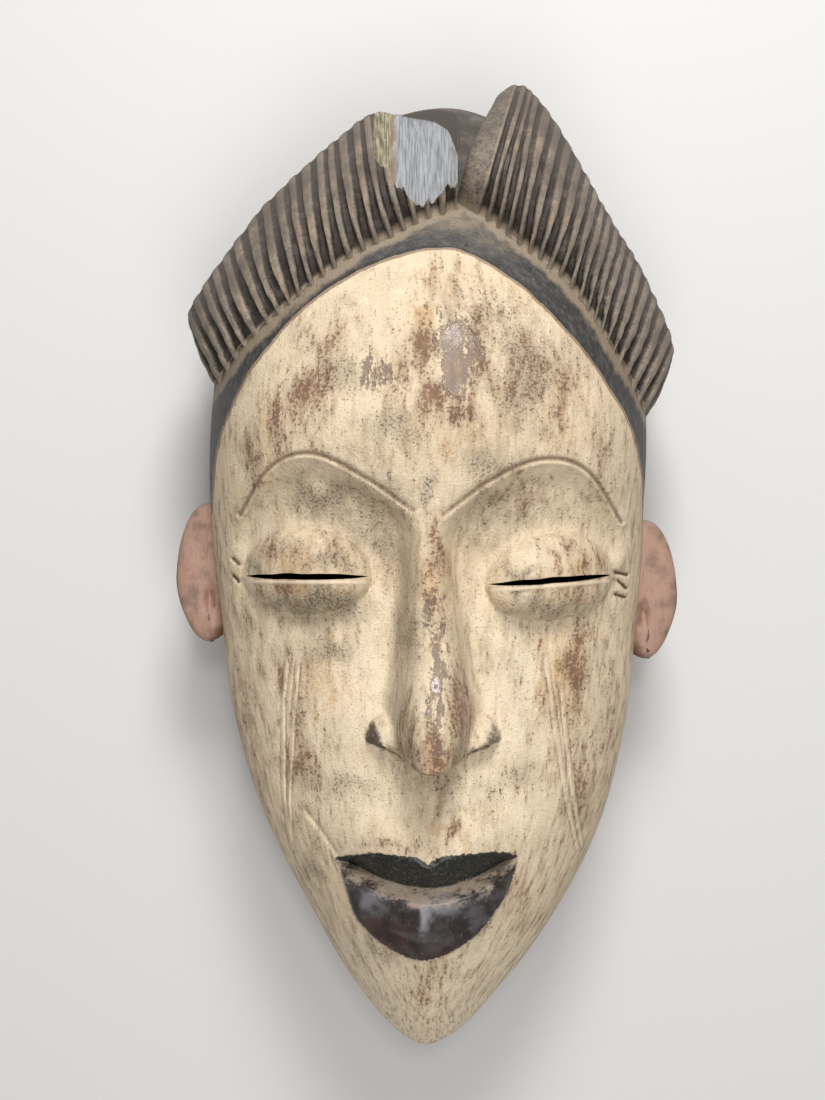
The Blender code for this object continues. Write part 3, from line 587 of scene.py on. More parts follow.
def strips(index, closed=False):
    """Four-sided faces between neighbouring rows and columns of a grid of vertex numbers."""
    if closed:
        index = np.hstack([index, index[:, :1]])
    return np.stack([index[:-1, :-1], index[:-1, 1:], index[1:, 1:], index[1:, :-1]], -1).reshape(-1, 4)


def fan(ring, middle):
    """Three-sided faces from a ring of vertex numbers to a middle vertex."""
    return np.column_stack([ring, np.roll(ring, -1), np.full(len(ring), middle)])


def volume_of(points, quads, triangles):
    """Six times the volume inside the faces, positive when they face outwards."""
    halves = np.vstack([quads[:, [0, 1, 2]], quads[:, [0, 2, 3]], triangles])
    a, b, c = (points[halves[:, k]] for k in range(3))
    return np.einsum("ij,ij->", a, np.cross(b, c))


def facing_out(points, quads, triangles):
    """The same solid, with its faces turned over where they pointed inwards."""
    if volume_of(points, quads, triangles) > 0:
        return points, quads, triangles
    return points, quads[:, ::-1], triangles[:, ::-1]


def capped_dome(top, ring_levels):
    """A solid whose top is a grid and whose sides follow its border down to a flat base.

    ring_levels lists (height, outward share) for each ring under the border. The base is a fan.
    """
    x, y, z = top
    rows, columns = x.shape
    number = np.arange(rows * columns).reshape(rows, columns)
    edge = border(number)
    ring_x, ring_y = border(x), border(y)
    points = [np.column_stack([x.ravel(), y.ravel(), z.ravel()])]
    for level, share in ring_levels:
        points.append(np.column_stack([
            HEAD_CENTRE[0] + (ring_x - HEAD_CENTRE[0]) * share,
            HEAD_CENTRE[1] + (ring_y - HEAD_CENTRE[1]) * share,
            np.full(len(edge), level),
        ]))
    points.append(np.array([[*HEAD_CENTRE, ring_levels[-1][0]]]))
    rings = rows * columns + np.arange(len(ring_levels) * len(edge)).reshape(len(ring_levels), len(edge))
    sides = strips(np.vstack([edge, rings]), closed=True)[:, ::-1]
    base = fan(rings[-1][::-1], rings[-1][-1] + 1)
    return facing_out(np.vstack(points), np.vstack([strips(number), sides]), base)


def swept(rings):
    """A closed solid through rings of equal length, capped at both ends by a fan."""
    count, size = rings.shape[:2]
    number = np.arange(count * size).reshape(count, size)
    points = np.vstack([rings.reshape(-1, 3), rings[[0, -1]].mean(axis=1)])
    ends = np.vstack([fan(number[0][::-1], count * size), fan(number[-1], count * size + 1)])
    return facing_out(points, strips(number, closed=True), ends)


def head_solid():
    """The head with its face in front, still solid, its sides drawn in a little towards the rim."""
    x, y = egg_grid(FACE_CELLS)
    fall = EDGE_HEIGHT + SLAB_DEPTH / 2
    levels = [
        (EDGE_HEIGHT - fall * k / SIDE_ROWS, 1 - SIDE_TAPER * (k / SIDE_ROWS) ** 2)
        for k in range(1, SIDE_ROWS + 1)
    ]
    return capped_dome((x, y, face_height(x, y)), levels)


def hollow_solid():
    """The space behind the face, with the overlapping scoops of the gouge that cut it.

    A scoop is a shallow bowl, (2u - 1)^2 across and (2v - 1)^2 along, repeated in columns that start at
    uneven places.
    """
    x, y = egg_grid(HOLLOW_CELLS, inset=RIM + 3.0)
    low = EDGE_HEIGHT - WALL
    z = low + (spline(MIDLINE, y) - WALL - low) * rounding(share_out(x, y, inset=RIM + 2.0))
    wide, long, lean, depth = SCOOP
    across = x + lean * y
    column = np.floor(across / wide)
    along = y / long + 0.37 * column + 0.2 * np.sin(column * 2.3)
    scoop = (2 * (across / wide % 1) - 1) ** 2 + 0.7 * (2 * (along % 1) - 1) ** 2
    deep = ease((z - low - 2) / 12)
    z -= depth * deep * scoop
    levels = [(low * 0.66, 1.005), (low * 0.33, 1.01), (0.0, 1.012), (-SLAB_DEPTH, 1.012)]
    return capped_dome((x, y, z), levels)


def flute_profile(s, rise, plain, seed):
    """How deep the groove is at each place across and up the lobe, from 0 on a ridge to 1 in a groove.

    Ridges are thin by the band and broad above. Each flute wanders a little, as a hand cuts it. The first
    share of the lobe, by the valley, is left plain.
    """
    wander = 0.16 * uneven(np.stack([s * FLUTES_PER_LOBE / 1.5 + seed, rise * 2.2], -1), (1, 1), 6)
    across = (np.maximum(s - plain, 0) / (1 - plain) * FLUTES_PER_LOBE + wander) % 1.0
    from_ridge = np.minimum(across, 1 - across)
    ridge = np.interp(rise, [0.1, 0.65], RIDGE_SHARE)
    return ease((from_ridge - ridge) / GROOVE_WALL + 0.5) * (s > plain)


def lobe_solid(lobe, plain, seed):
    """One fluted lobe: each flute's way is swept over the front, round the crest and back to the head.

    The front is a quadratic curve from the band over the control point to the crest, the back another from
    the crest down to the head's side. Grooves are pressed in along the surface's normal.
    """
    starts = np.array([row[0] for row in lobe], float)
    along = np.concatenate([[0], np.cumsum(np.hypot(*np.diff(starts, axis=0).T))])
    along /= along[-1]
    columns = FLUTES_PER_LOBE * COLUMNS_PER_FLUTE + 1
    s = np.linspace(0, 1, columns)
    start = spline(np.column_stack([along, starts]), s)
    start = np.column_stack([start, head_height(start[:, 0], start[:, 1]) - SUNK])
    control = spline(np.column_stack([along, [row[1] for row in lobe]]), s)
    crest = spline(np.column_stack([along, [row[2] for row in lobe]]), s)
    turn = np.arctan2(crest[:, 1] - HEAD_CENTRE[1], crest[:, 0] - HEAD_CENTRE[0])
    foot_reach = outline_radius(turn) - FOOT_INSET
    foot = np.column_stack([
        HEAD_CENTRE[0] + foot_reach * np.cos(turn),
        HEAD_CENTRE[1] + foot_reach * np.sin(turn),
        np.full(columns, LOBE_FOOT_HEIGHT),
    ])
    behind = crest * [LOBE_BACK_BULGE, 1.0, 0.52]
    front_rows, back_rows = LOBE_ROWS
    t = np.linspace(0, 1, front_rows + 1)[:, None, None]
    front = (1 - t) ** 2 * start + 2 * t * (1 - t) * control + t**2 * crest
    t = np.linspace(0, 1, back_rows + 1)[1:, None, None]
    back = (1 - t) ** 2 * crest + 2 * t * (1 - t) * behind + t**2 * foot
    surface = np.concatenate([front, back])
    rise = np.arange(front_rows + back_rows + 1) / front_rows
    s_grid, rise_grid = np.meshgrid(s, rise)
    across, down = np.gradient(surface, axis=1), np.gradient(surface, axis=0)
    normal = np.cross(across, down)
    normal /= np.linalg.norm(normal, axis=-1, keepdims=True) + 1e-9
    outward = np.sign(np.sum(normal * (surface - surface.mean(axis=0)), axis=(0, -1), keepdims=True))
    groove = flute_profile(s_grid, rise_grid, plain, seed)
    depth = FLUTE_DEPTH * np.interp(rise, *FLUTE_FADE)
    worn = 0.20 * uneven(surface, (3.0, 4.0, 4.0), 8) + 0.12 * uneven(surface, (1.4, 1.8, 1.8), 9)
    near_end = np.minimum(s, 1 - s) / END_ROUNDING[0]
    shoulder = END_ROUNDING[1] * (1 - np.sqrt(1 - (1 - np.clip(near_end, 0, 1)) ** 2))
    surface = surface - normal * outward * (depth[:, None] * groove + worn + shoulder)[..., None]
    inner = 0.5 * (surface[:1] + surface[-1:])
    rings = np.concatenate([surface, inner])
    grooves = np.where(s_grid > plain, groove, PLAIN_GROOVE)
    grooves = np.vstack([grooves, grooves[:1]])
    rises = np.vstack([rise_grid, rise_grid[:1]])
    marks = [np.append(np.swapaxes(m, 0, 1).ravel(), [0.5, 0.5]) for m in (grooves, rises)]
    return swept(np.swapaxes(rings, 0, 1)), marks


def ear_solid(x, y, z, tilt):
    """A flat C-shaped ear: an upright oval plate, dished in front along the head."""
    around, layers = EAR_CELLS
    side = np.sign(x)
    lean = np.linspace(0, np.pi, layers + 1)[:, None]
    turn = np.linspace(0, 2 * np.pi, around, endpoint=False)[None, :]
    reach = np.maximum(np.sin(lean), 0.02) ** 0.3
    px = EAR_REACH * reach * np.sign(np.cos(turn)) * np.abs(np.cos(turn)) ** 0.82
    py = EAR_LENGTH / 2 * reach * np.sign(np.sin(turn)) * np.abs(np.sin(turn)) ** 0.95
    px = px - side * EAR_SLANT * ease(-(py + 2) / 20) * (side * px > 0)
    front = lean < np.pi / 2
    gap = bell(side * px + EAR_GAP[0], EAR_GAP[1]) * ease((py + 13) / 5) * ease((6 - py) / 5)
    pz = EAR_THICKNESS / 2 * np.sign(np.cos(lean)) * np.abs(np.cos(lean)) ** 0.3
    pz = pz - front * (EAR_DISH * ease((-3.0 - side * px) / 5.0) + EAR_GAP[2] * gap)
    places = np.stack([px, py, pz], -1)
    pz = pz + 0.35 * uneven(places, (5, 6, 5), 10)
    lean_in = np.radians(tilt)
    rings = np.stack([
        x + px * np.cos(lean_in) - py * np.sin(lean_in) * 0.5 + side * 0.6,
        y + py * np.cos(lean_in) + px * np.sin(lean_in) * 0.5,
        z + pz - side * px * 0.12,
    ], -1)
    return swept(rings)


def split_solid():
    """The missing splinter: a block whose jagged lower edge and torn underside follow the wood's fibres."""
    edge_x = np.array([x for x, _ in SPLIT_EDGE])
    x = np.linspace(edge_x[0], edge_x[-1], SPLIT_CELLS[0] + 1)
    low_y = np.interp(x, edge_x, [y for _, y in SPLIT_EDGE])
    low_y = low_y + 0.5 * uneven(x[:, None], (0.9,), 11)
    v = np.linspace(0, 1, SPLIT_CELLS[1] + 1)[:, None] ** 1.4
    y = low_y + v * (SPLIT_TOP - low_y)
    x = np.broadcast_to(x, y.shape)
    fibre = uneven(np.stack([x, y], -1), (0.8, 12), 12) + 0.6 * uneven(np.stack([x, y], -1), (0.45, 5), 13)
    under = SPLIT_HEIGHT - SPLIT_SLOPE[0] * (x - edge_x[0]) - SPLIT_SLOPE[1] * (y - min(low_y))
    flank_x, wide, high = SPLIT_FLANK
    under = under + high * np.clip((flank_x - x) / wide, 0, 1) + 0.32 * fibre
    beyond = y - np.interp(x, *np.transpose(STUB_TOP))
    under = np.maximum(under - STUB_DROP * np.clip(beyond, 0, None), head_height(x, y) + 0.1)
    rows, columns = y.shape
    number = np.arange(rows * columns).reshape(rows, columns)
    points = np.vstack([
        np.column_stack([x.ravel(), y.ravel(), under.ravel()]),
        np.column_stack([x.ravel(), y.ravel(), np.full(x.size, 165.0)]),
    ])
    edge = border(number)
    sides = strips(np.vstack([edge, edge + x.size]), closed=True)
    quads = np.vstack([strips(number)[:, ::-1], strips(number + x.size), sides])
    return facing_out(points, quads, np.zeros((0, 3), int))


def slit_solid(eye, seed):
    """A thin cut through the wall along one closed eye, pointed at both ends and a little uneven."""
    cx, cy, _, _, _, tilt = eye
    share = np.linspace(-1, 1, SLIT_POINTS)
    x = share * SLIT_LENGTH / 2
    half = SLIT_WIDTH / 2 * (1 - np.abs(share) ** 3.2)
    wave = 0.22 * uneven(x[:, None], (5.0,), seed)
    upper = np.column_stack([cx + x, cy + half + wave + tilt * x])
    lower = np.column_stack([cx + x, cy - half + 0.5 * wave + tilt * x])
    outline = np.vstack([lower, upper[-2:0:-1]])
    count = len(outline)
    levels = [EDGE_HEIGHT, 150.0]
    points = np.vstack([np.column_stack([outline, np.full(count, level)]) for level in levels])
    number = np.arange(2 * count).reshape(2, count)
    points = np.vstack([points, [[cx, cy, level] for level in levels]])
    ends = np.vstack([fan(number[0][::-1], 2 * count), fan(number[1], 2 * count + 1)])
    return facing_out(points, strips(number, closed=True), ends)


def floor_slab():
    """Everything under the rim, to be cut away flat."""
    corners = np.array([(-200, -300), (200, -300), (200, 300), (-200, 300)], float)
    low = np.column_stack([corners, np.full(4, -2 * SLAB_DEPTH)])
    high = np.column_stack([corners, np.zeros(4)])
    quads = np.vstack([strips(np.arange(8).reshape(2, 4), closed=True), [[3, 2, 1, 0], [4, 5, 6, 7]]])
    return facing_out(np.vstack([low, high]), quads, np.zeros((0, 3), int))


def new_object(name, solid, material, marks=()):
    """A mesh object in drawn millimetres, from points, four-sided faces and three-sided faces."""
    points, quads, triangles = solid
    mesh = bpy.data.meshes.new(name)
    mesh.vertices.add(len(points))
    mesh.vertices.foreach_set("co", points.astype(np.float32).ravel())
    corners = np.concatenate([quads.ravel(), triangles.ravel()])
    mesh.loops.add(len(corners))
    mesh.loops.foreach_set("vertex_index", corners.astype(np.int32))
    starts = np.concatenate([4 * np.arange(len(quads)), 4 * len(quads) + 3 * np.arange(len(triangles))])
    mesh.polygons.add(len(starts))
    mesh.polygons.foreach_set("loop_start", starts.astype(np.int32))
    mesh.update(calc_edges=True)
    mesh.materials.append(material)
    for mark, values in zip(("groove", "rise"), marks):
        mesh.attributes.new(mark, "FLOAT", "POINT").data.foreach_set("value", values.astype(np.float32))
    obj = bpy.data.objects.new(name, mesh)
    bpy.context.scene.collection.objects.link(obj)
    return obj


def settle(obj):
    """Makes an object's modifiers part of its mesh."""
    evaluated = obj.evaluated_get(bpy.context.evaluated_depsgraph_get())
    mesh = bpy.data.meshes.new_from_object(evaluated)
    obj.modifiers.clear()
    obj.data = mesh


def carve(materials):
    """Joins lobes and ears to the head, then cuts the split, the hollow, the slits and the flat rim."""
    solids = {"head": (head_solid(), ())}
    solids["left_lobe"] = lobe_solid(LEFT_LOBE, LEFT_PLAIN, 0)
    solids["right_lobe"] = lobe_solid(RIGHT_LOBE, RIGHT_PLAIN, 40)
    solids |= {f"{side}_ear": (ear_solid(*ear), ()) for side, ear in zip(("left", "right"), EARS)}
    drawn = np.vstack([solid[0] for solid, _ in solids.values()])
    cuts = {"split": split_solid(), "hollow": hollow_solid(), "floor": floor_slab()}
    cuts |= {f"{side}_slit": slit_solid(eye, n) for n, side, eye in zip((21, 22), ("left", "right"), EYES)}
    finish = {"lobe": "hair", "ear": "ear", "split": "split"}
    carving = new_object("mask_carving", solids["head"][0], materials["face"])
    helpers = []
    for name in (*list(solids)[1:], *cuts):
        solid, marks = solids[name] if name in solids else (cuts[name], ())
        material = materials[finish.get(name.split("_")[-1], "hollow")]
        helper = new_object(name, solid, material, marks)
        step = carving.modifiers.new(name, "BOOLEAN")
        step.object = helper
        step.operation = "UNION" if name in solids else "DIFFERENCE"
        step.solver = "MANIFOLD"
        step.material_mode = "TRANSFER"
        helpers.append(helper)
    settle(carving)
    for helper in helpers:
        bpy.data.objects.remove(helper)
    carving.data.calc_loop_triangles()
    thin = carving.modifiers.new("fewer faces", "DECIMATE")
    thin.ratio = min(1.0, MOST_TRIANGLES / len(carving.data.loop_triangles))
    settle(carving)
    return carving, (drawn.min(axis=0) * [1, 1, 0], drawn.max(axis=0))


def patch_field(x, y, patches):
    """Strength of paint, wear, painted shade or painted light at each place: each patch fades out as
    exp(-r^2), r = 1 at its half sizes.

    The places are first pushed about unevenly, so that no patch is a plain oval.
    """
    field = np.zeros(np.shape(x))
    places = np.stack([x, y], -1)
    for drift, size, seed in zip(PATCH_DRIFT, (9.0, 2.6), (31, 35)):
        x = x + drift * uneven(places, (size * 0.6, size), seed)
        y = y + drift * uneven(places, (size * 0.6, size), seed + 1)
    for cx, cy, wide, tall, strength in patches:
        spread = bump(x, y, cx, cy, PATCH_SPREAD * wide, PATCH_SPREAD * tall)
        field = np.maximum(field, strength * spread)
    return field


def mark_paint(carving):
    """Stores on each vertex where the hair, the lips, every kind of wear, and the painted shade, shadow,
    light, highlight and reflection lie.
    """
    mesh = carving.data
    points = np.empty(len(mesh.vertices) * 3, np.float32)
    mesh.vertices.foreach_get("co", points)
    x, y, z = points.reshape(-1, 3).astype(float).T
    brow = distance_to_lines(x, y, [curve_points(line, BROW_POINTS) for line in BROWS])
    # Brown stain, with painted shadow, along the fine cuts beside each welt
    scar_stain_and_shadow = np.max([fade * bell(off - 0.95, 0.5) for off, fade in scars_at(x, y)], axis=0)
    welts = np.max([fade * bell(off, 0.5) for off, fade in scars_at(x, y)], axis=0)
    feet = [[row[0] for row in lobe] for lobe in (LEFT_LOBE, RIGHT_LOBE)]
    lobe_foot = distance_to_lines(x, y, feet)
    cuts = distance_to_lines(x, y, EYE_CORNER_CUTS)
    # Painted highlight, with pale kaolin: a line along each lower lid's rim under the slit and a ring just
    # above each upper lid
    lid_highlight_and_chalk = np.zeros(len(x))
    for cx, cy, half, above, _, tilt in EYES:
        dy = y - cy - tilt * (x - cx)
        lid_highlight_and_chalk = np.maximum(lid_highlight_and_chalk, bell(dy - LID_RIM, 0.7) * ease((half - np.abs(x - cx)) / 2.0))
        ring = np.sqrt(((x - cx) / half) ** 2 + (dy / above) ** 2)
        lid_highlight_and_chalk = np.maximum(lid_highlight_and_chalk, 0.6 * bell(ring - 1.08, 0.16) * ease((dy - 1.0) / 4.0))
    ear_edge, ear_top = np.zeros(len(x)), np.zeros(len(x))
    for cx, cy, _, _ in EARS:
        px, py = (x - cx) * np.sign(cx), y - cy
        near = ease((px + 12) / 2)
        oval = (px / EAR_REACH) ** 2 + (py / (EAR_LENGTH / 2)) ** 2
        low_end = ease((-py - 12) / 9) * ease((3 - px) / 5)
        ear_edge = np.maximum(ear_edge, near * np.maximum(ease((oval - 0.86) / 0.2), low_end))
        ear_top = np.maximum(ear_top, near * ease((py - 11) / 8) * ease((2 - px) / 6))
    out, slant, level = WING_PAINT
    out_by = np.abs(x - WING_MIDDLE)
    side = ease((out_by - out + slant * (level - y)) / 3.2)
    wing_black_and_shade = np.zeros(len(x))
    above_base = y - WING_BASE[0] - WING_BASE[1] * out_by
    for cx, cy in NOSTRIL_WINGS:
        ring = ((x - cx) / WING_SIZE[0]) ** 2 + ((y - cy) / WING_SIZE[1]) ** 2
        inside = ease((1.12 - ring) / 0.3) * ease((above_base + 0.5) / 0.8)
        wing_black_and_shade = np.maximum(wing_black_and_shade, side * inside * np.where(x < WING_MIDDLE, 1.0, 0.75))
    # Painted shadow under each nostril wing's lower edge, and painted shade in the eye-corner cuts
    shadow_under_wing = bell(above_base, 0.9) * ease((out_by - 6) / 4) * ease((18.5 - out_by) / 2)
    wing_black_and_shade = np.maximum(wing_black_and_shade, 0.9 * shadow_under_wing)
    wing_black_and_shade = np.maximum(wing_black_and_shade, 0.95 * bell(cuts, 0.8))
    fields = {
        "above_hairline": above_hairline(x, y),
        "inside_lips": inside_lips(x, y),
        "below_parting": spline(LIP_PARTING, x) - y,
        "stub": y - np.interp(x, *np.transpose(STUB_TOP)),
        # painted shade along the brow grooves and in the eye-corner cuts
        "grooves": np.maximum(bell(brow, 1.1), bell(cuts, 0.7)),
        "scar_stain_and_shadow": scar_stain_and_shadow,
        "welts": welts,
        "lobe_foot": lobe_foot,
        "lid_highlight_and_chalk": lid_highlight_and_chalk,
        "ear_edge": ear_edge,
        "ear_top": ear_top,
        "side": ease((EDGE_HEIGHT + 4 - z) / 30.0),
        "streaks": ease((share_out(x, y) - 0.45) / 0.5),
        "wing_black_and_shade": wing_black_and_shade,
    }
    patches = {
        "bare_wood": BARE_WOOD, "soot_and_shade": SOOT_AND_SHADE, "ochre": OCHRE, "polish": POLISHED, "fresh_and_lit": FRESH_AND_LIT,
        "valley_dust": VALLEY_DUST, "lip_wear": LIP_WEAR, "lip_patina_and_reflection": LIP_PATINA_AND_REFLECTION,
    }
    fields |= {name: patch_field(x, y, places) for name, places in patches.items()}
    for name, values in fields.items():
        mesh.attributes.new(name, "FLOAT", "POINT").data.foreach_set("value", values.astype(np.float32))
    flow = np.column_stack([x * 60 / half_width(y), y, z]) / 1000
    stored = mesh.attributes.new("flow", "FLOAT_VECTOR", "POINT")
    stored.data.foreach_set("vector", flow.astype(np.float32).ravel())


def lay_on_frame(carving, drawn_box):
    """Stretches the drawing's box, in millimetres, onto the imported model's box, in metres."""
    low, high = drawn_box
    scale = (cad_high - cad_low) / (high - low)
    mesh = carving.data
    points = np.empty(len(mesh.vertices) * 3, np.float32)
    mesh.vertices.foreach_get("co", points)
    placed = cad_low + (points.reshape(-1, 3) - low) * scale
    mesh.vertices.foreach_set("co", placed.astype(np.float32).ravel())
    mesh.update()


class Finish:
    """A material under construction, with short calls for the nodes that this mask's finishes share."""

    def __init__(self, name):
        self.material = bpy.data.materials.new(name)
        self.material.use_nodes = True
        self.tree = self.material.node_tree
        self.shader = self.tree.nodes["Principled BSDF"]
        self.shader.inputs["Specular IOR Level"].default_value = 0.4
        self.place = self.tree.nodes.new("ShaderNodeTexCoord").outputs["Object"]

    def feed(self, socket, value):
        """Joins a socket to another, or sets a constant on it."""
        if isinstance(value, bpy.types.NodeSocket):
            self.tree.links.new(value, socket)
        elif isinstance(value, tuple) and len(value) == 3 and len(socket.default_value) == 4:
            socket.default_value = (*value, 1.0)
        else:
            socket.default_value = value

    def mark(self, name, output="Fac"):
        """A value stored on the surface by mark_paint or new_object."""
        node = self.tree.nodes.new("ShaderNodeAttribute")
        node.attribute_name = name
        return node.outputs[output]

    def noise(self, size, detail=3.0, rough=0.55, stretch=(1, 1, 1), shift=0.0, place=None):
        """Cloudy noise whose lumps are about size millimetres wide, drawn out by stretch."""
        mapping = self.tree.nodes.new("ShaderNodeMapping")
        self.tree.links.new(place or self.place, mapping.inputs["Vector"])
        mapping.inputs["Scale"].default_value = [1000 / size / s for s in stretch]
        mapping.inputs["Location"].default_value = (shift, shift * 1.7, shift * 0.6)
        node = self.tree.nodes.new("ShaderNodeTexNoise")
        self.tree.links.new(mapping.outputs["Vector"], node.inputs["Vector"])
        node.inputs["Scale"].default_value = 1.0
        node.inputs["Detail"].default_value = detail
        node.inputs["Roughness"].default_value = rough
        return node.outputs["Fac"]

    def maths(self, operation, a, b=0.0, clamp=False):
        """A sum on two values, such as ADD or MAXIMUM, held between 0 and 1 where clamp is set."""
        node = self.tree.nodes.new("ShaderNodeMath")
        node.operation = operation
        node.use_clamp = clamp
        self.feed(node.inputs[0], a)
        self.feed(node.inputs[1], b)
        return node.outputs[0]

    def plus(self, value, other, weight=1.0, middle=0.0):
        """value + weight * (other - middle). A middle of 0.5 lets noise push the value up and down."""
        if middle:
            other = self.maths("SUBTRACT", other, middle)
        if weight != 1.0:
            other = self.maths("MULTIPLY", other, weight)
        return self.maths("ADD", value, other)

    def total(self, value, *parts):
        """The value plus each part, a tuple of what plus takes: other, weight and middle."""
        for part in parts:
            value = self.plus(value, *part)
        return value

    def times(self, a, b):
        """The product of two values or shares."""
        return self.maths("MULTIPLY", a, b)

    def rest(self, share):
        """What is left of 1."""
        return self.maths("SUBTRACT", 1.0, share)

    def step(self, value, low, high):
        """0 where value is low, 1 where it is high, and a smooth change between."""
        node = self.tree.nodes.new("ShaderNodeMapRange")
        node.interpolation_type = "SMOOTHSTEP"
        self.feed(node.inputs["Value"], value)
        node.inputs["From Min"].default_value = low
        node.inputs["From Max"].default_value = high
        return node.outputs["Result"]

    def blend(self, share, a, b):
        """Colour a, or colour b where share is 1."""
        node = self.tree.nodes.new("ShaderNodeMix")
        node.data_type = "RGBA"
        self.feed(node.inputs[0], share)
        self.feed(node.inputs[6], a)
        self.feed(node.inputs[7], b)
        return node.outputs[2]

    def tint(self, colour, share, strength, new):
        """Lays a new colour over another, at strength times share."""
        return self.blend(self.times(share, strength), colour, new)

    def done(self, colour, roughness, height, bump_mm):
        """Feeds the shader, with height raised by bump_mm where it is 1."""
        self.feed(self.shader.inputs["Base Color"], colour)
        self.feed(self.shader.inputs["Roughness"], roughness)
        bump = self.tree.nodes.new("ShaderNodeBump")
        bump.inputs["Strength"].default_value = 1.0
        bump.inputs["Distance"].default_value = bump_mm / 1000
        self.feed(bump.inputs["Height"], height)
        self.tree.links.new(bump.outputs["Normal"], self.shader.inputs["Normal"])
        return self.material


def painted_face():
    """Cream kaolin rubbed thin over dark wood, a charcoal band above the hairline, and dark glossy lips."""
    f = Finish("kaolin_face")
    cloud = f.noise(26, 3, 0.6)
    mottle = f.noise(5.5, 4, 0.62, shift=3)
    speck = f.noise(1.05, 3, 0.66, shift=7)
    speck_two = f.noise(0.8, 3, 0.66, shift=19)
    grain = f.noise(0.5, 2, 0.6, shift=11)
    along = f.mark("flow", "Vector")
    strokes = f.noise(1.2, 4, 0.65, stretch=(1, 6, 3), shift=5, place=along)
    stains = f.noise(3.2, 4, 0.7, stretch=(1, 3.5, 1), shift=27, place=along)

    # Thicker pale kaolin, and painted light on the chin
    thick_and_lit = f.plus(mottle, f.mark("fresh_and_lit"), 0.35)
    cream = f.blend(f.step(thick_and_lit, 0.42, 0.76), CREAM, PALE_CREAM)
    cream = f.tint(cream, f.step(grain, 0.48, 0.70), 0.45, TAN)
    ochre = f.times(f.mark("ochre"), 0.75)
    warm = f.total(ochre, (mottle, 1.0, 0.45), (stains, 1.3, 0.5), (speck, 0.9, 0.5))
    cream = f.tint(cream, f.step(warm, 0.08, 0.9), 0.75, OCHRE_STAIN)
    # Grey soot and grime, and painted shade under the lower lids, in the inner eye corners and under the
    # nose
    grime_and_shade = f.total(f.times(f.mark("soot_and_shade"), 0.75), (cloud, 1.0, 0.5), (stains, 1.2, 0.5))
    cream = f.tint(cream, f.step(grime_and_shade, -0.14, 0.72), 0.85, GREY_CREAM)

    # Where the kaolin is rubbed thin, brown shines through, and bare wood shows in specks
    thin = f.total(f.times(f.mark("bare_wood"), 0.75), (stains, 1.0, 0.5), (strokes, 0.8, 0.5))
    cream = f.tint(cream, f.step(thin, -0.07, 0.72), 0.85, THIN_BROWN)
    rubbed = f.total(f.times(speck, 0.55), (stains, 0.45), (f.mark("bare_wood"), 0.16))
    bare = f.step(rubbed, 0.585, 0.665)
    brown = f.blend(f.step(mottle, 0.4, 0.65), BROWN_WOOD, RED_WOOD)
    colour = f.tint(cream, bare, 0.75, brown)

    sooty = f.total(f.times(speck_two, 0.75), (strokes, 0.25), (f.mark("soot_and_shade"), 0.13))
    colour = f.tint(colour, f.step(sooty, 0.575, 0.675), 0.65, SOOT_BLACK)
    streaked = f.total(f.times(strokes, 0.6), (f.mark("streaks"), 0.14), (stains, 0.4))
    colour = f.tint(colour, f.step(streaked, 0.60, 0.80), 0.48, STREAK_BROWN)

    rubs = f.noise(2.0, 4, 0.65, stretch=(1, 3.6, 2), shift=41)
    shiny = f.total(f.mark("polish"), (rubs, 2.6, 0.5), (speck, 1.2, 0.5))
    polish = f.step(shiny, 0.42, 0.92)
    rubbed_colour = f.blend(f.step(rubs, 0.42, 0.62), BROWN_POLISH, PURPLE_POLISH)
    colour = f.tint(colour, polish, 0.85, rubbed_colour)
    # Black paint on the nostril wings' outer sides, with painted shadow under the wings and painted shade in
    # the eye-corner cuts
    wing_black_and_shade = f.step(f.plus(f.mark("wing_black_and_shade"), speck, 1.2), 0.95, 1.6)
    colour = f.tint(colour, wing_black_and_shade, 0.92, WING_AND_SHADE_BLACK)
    # Painted shade in the brow grooves and the eye-corner cuts
    groove = f.step(f.plus(f.mark("grooves"), speck, 0.5), 0.65, 1.25)
    colour = f.tint(colour, groove, 0.62, BROWN_WOOD)
    # Brown stain and painted shadow along the fine cuts beside the scar welts
    scar_shadow_share = f.step(f.plus(f.mark("scar_stain_and_shadow"), strokes, 0.8), 0.85, 1.45)
    colour = f.tint(colour, scar_shadow_share, 0.55, BROWN_WOOD)
    colour = f.tint(colour, f.mark("welts"), 0.55, PALE_CREAM)
    # Painted highlight and pale kaolin along the lid rims and above the upper lids
    lid_highlight_and_chalk = f.step(f.plus(f.mark("lid_highlight_and_chalk"), speck, 0.8, 0.5), 0.25, 0.95)
    colour = f.tint(colour, lid_highlight_and_chalk, 0.75, PALE_CREAM)

    # Sides and rim: strokes of brown under thin kaolin
    flank = f.step(f.plus(f.mark("side"), strokes, 0.7), 0.75, 1.2)
    colour = f.blend(flank, colour, BROWN_WOOD)

    # Lips
    inside = f.plus(f.mark("inside_lips"), speck, 2.2, 0.5)
    lip = f.step(inside, -0.15, 0.25)
    lower = f.step(f.mark("below_parting"), -0.3, 0.3)
    lower_colour = f.blend(f.step(mottle, 0.36, 0.70), LIP_DARK, LIP_GREY)
    red = f.times(f.mark("lip_wear"), f.step(mottle, 0.3, 0.55))
    lower_colour = f.blend(red, lower_colour, LIP_RED)
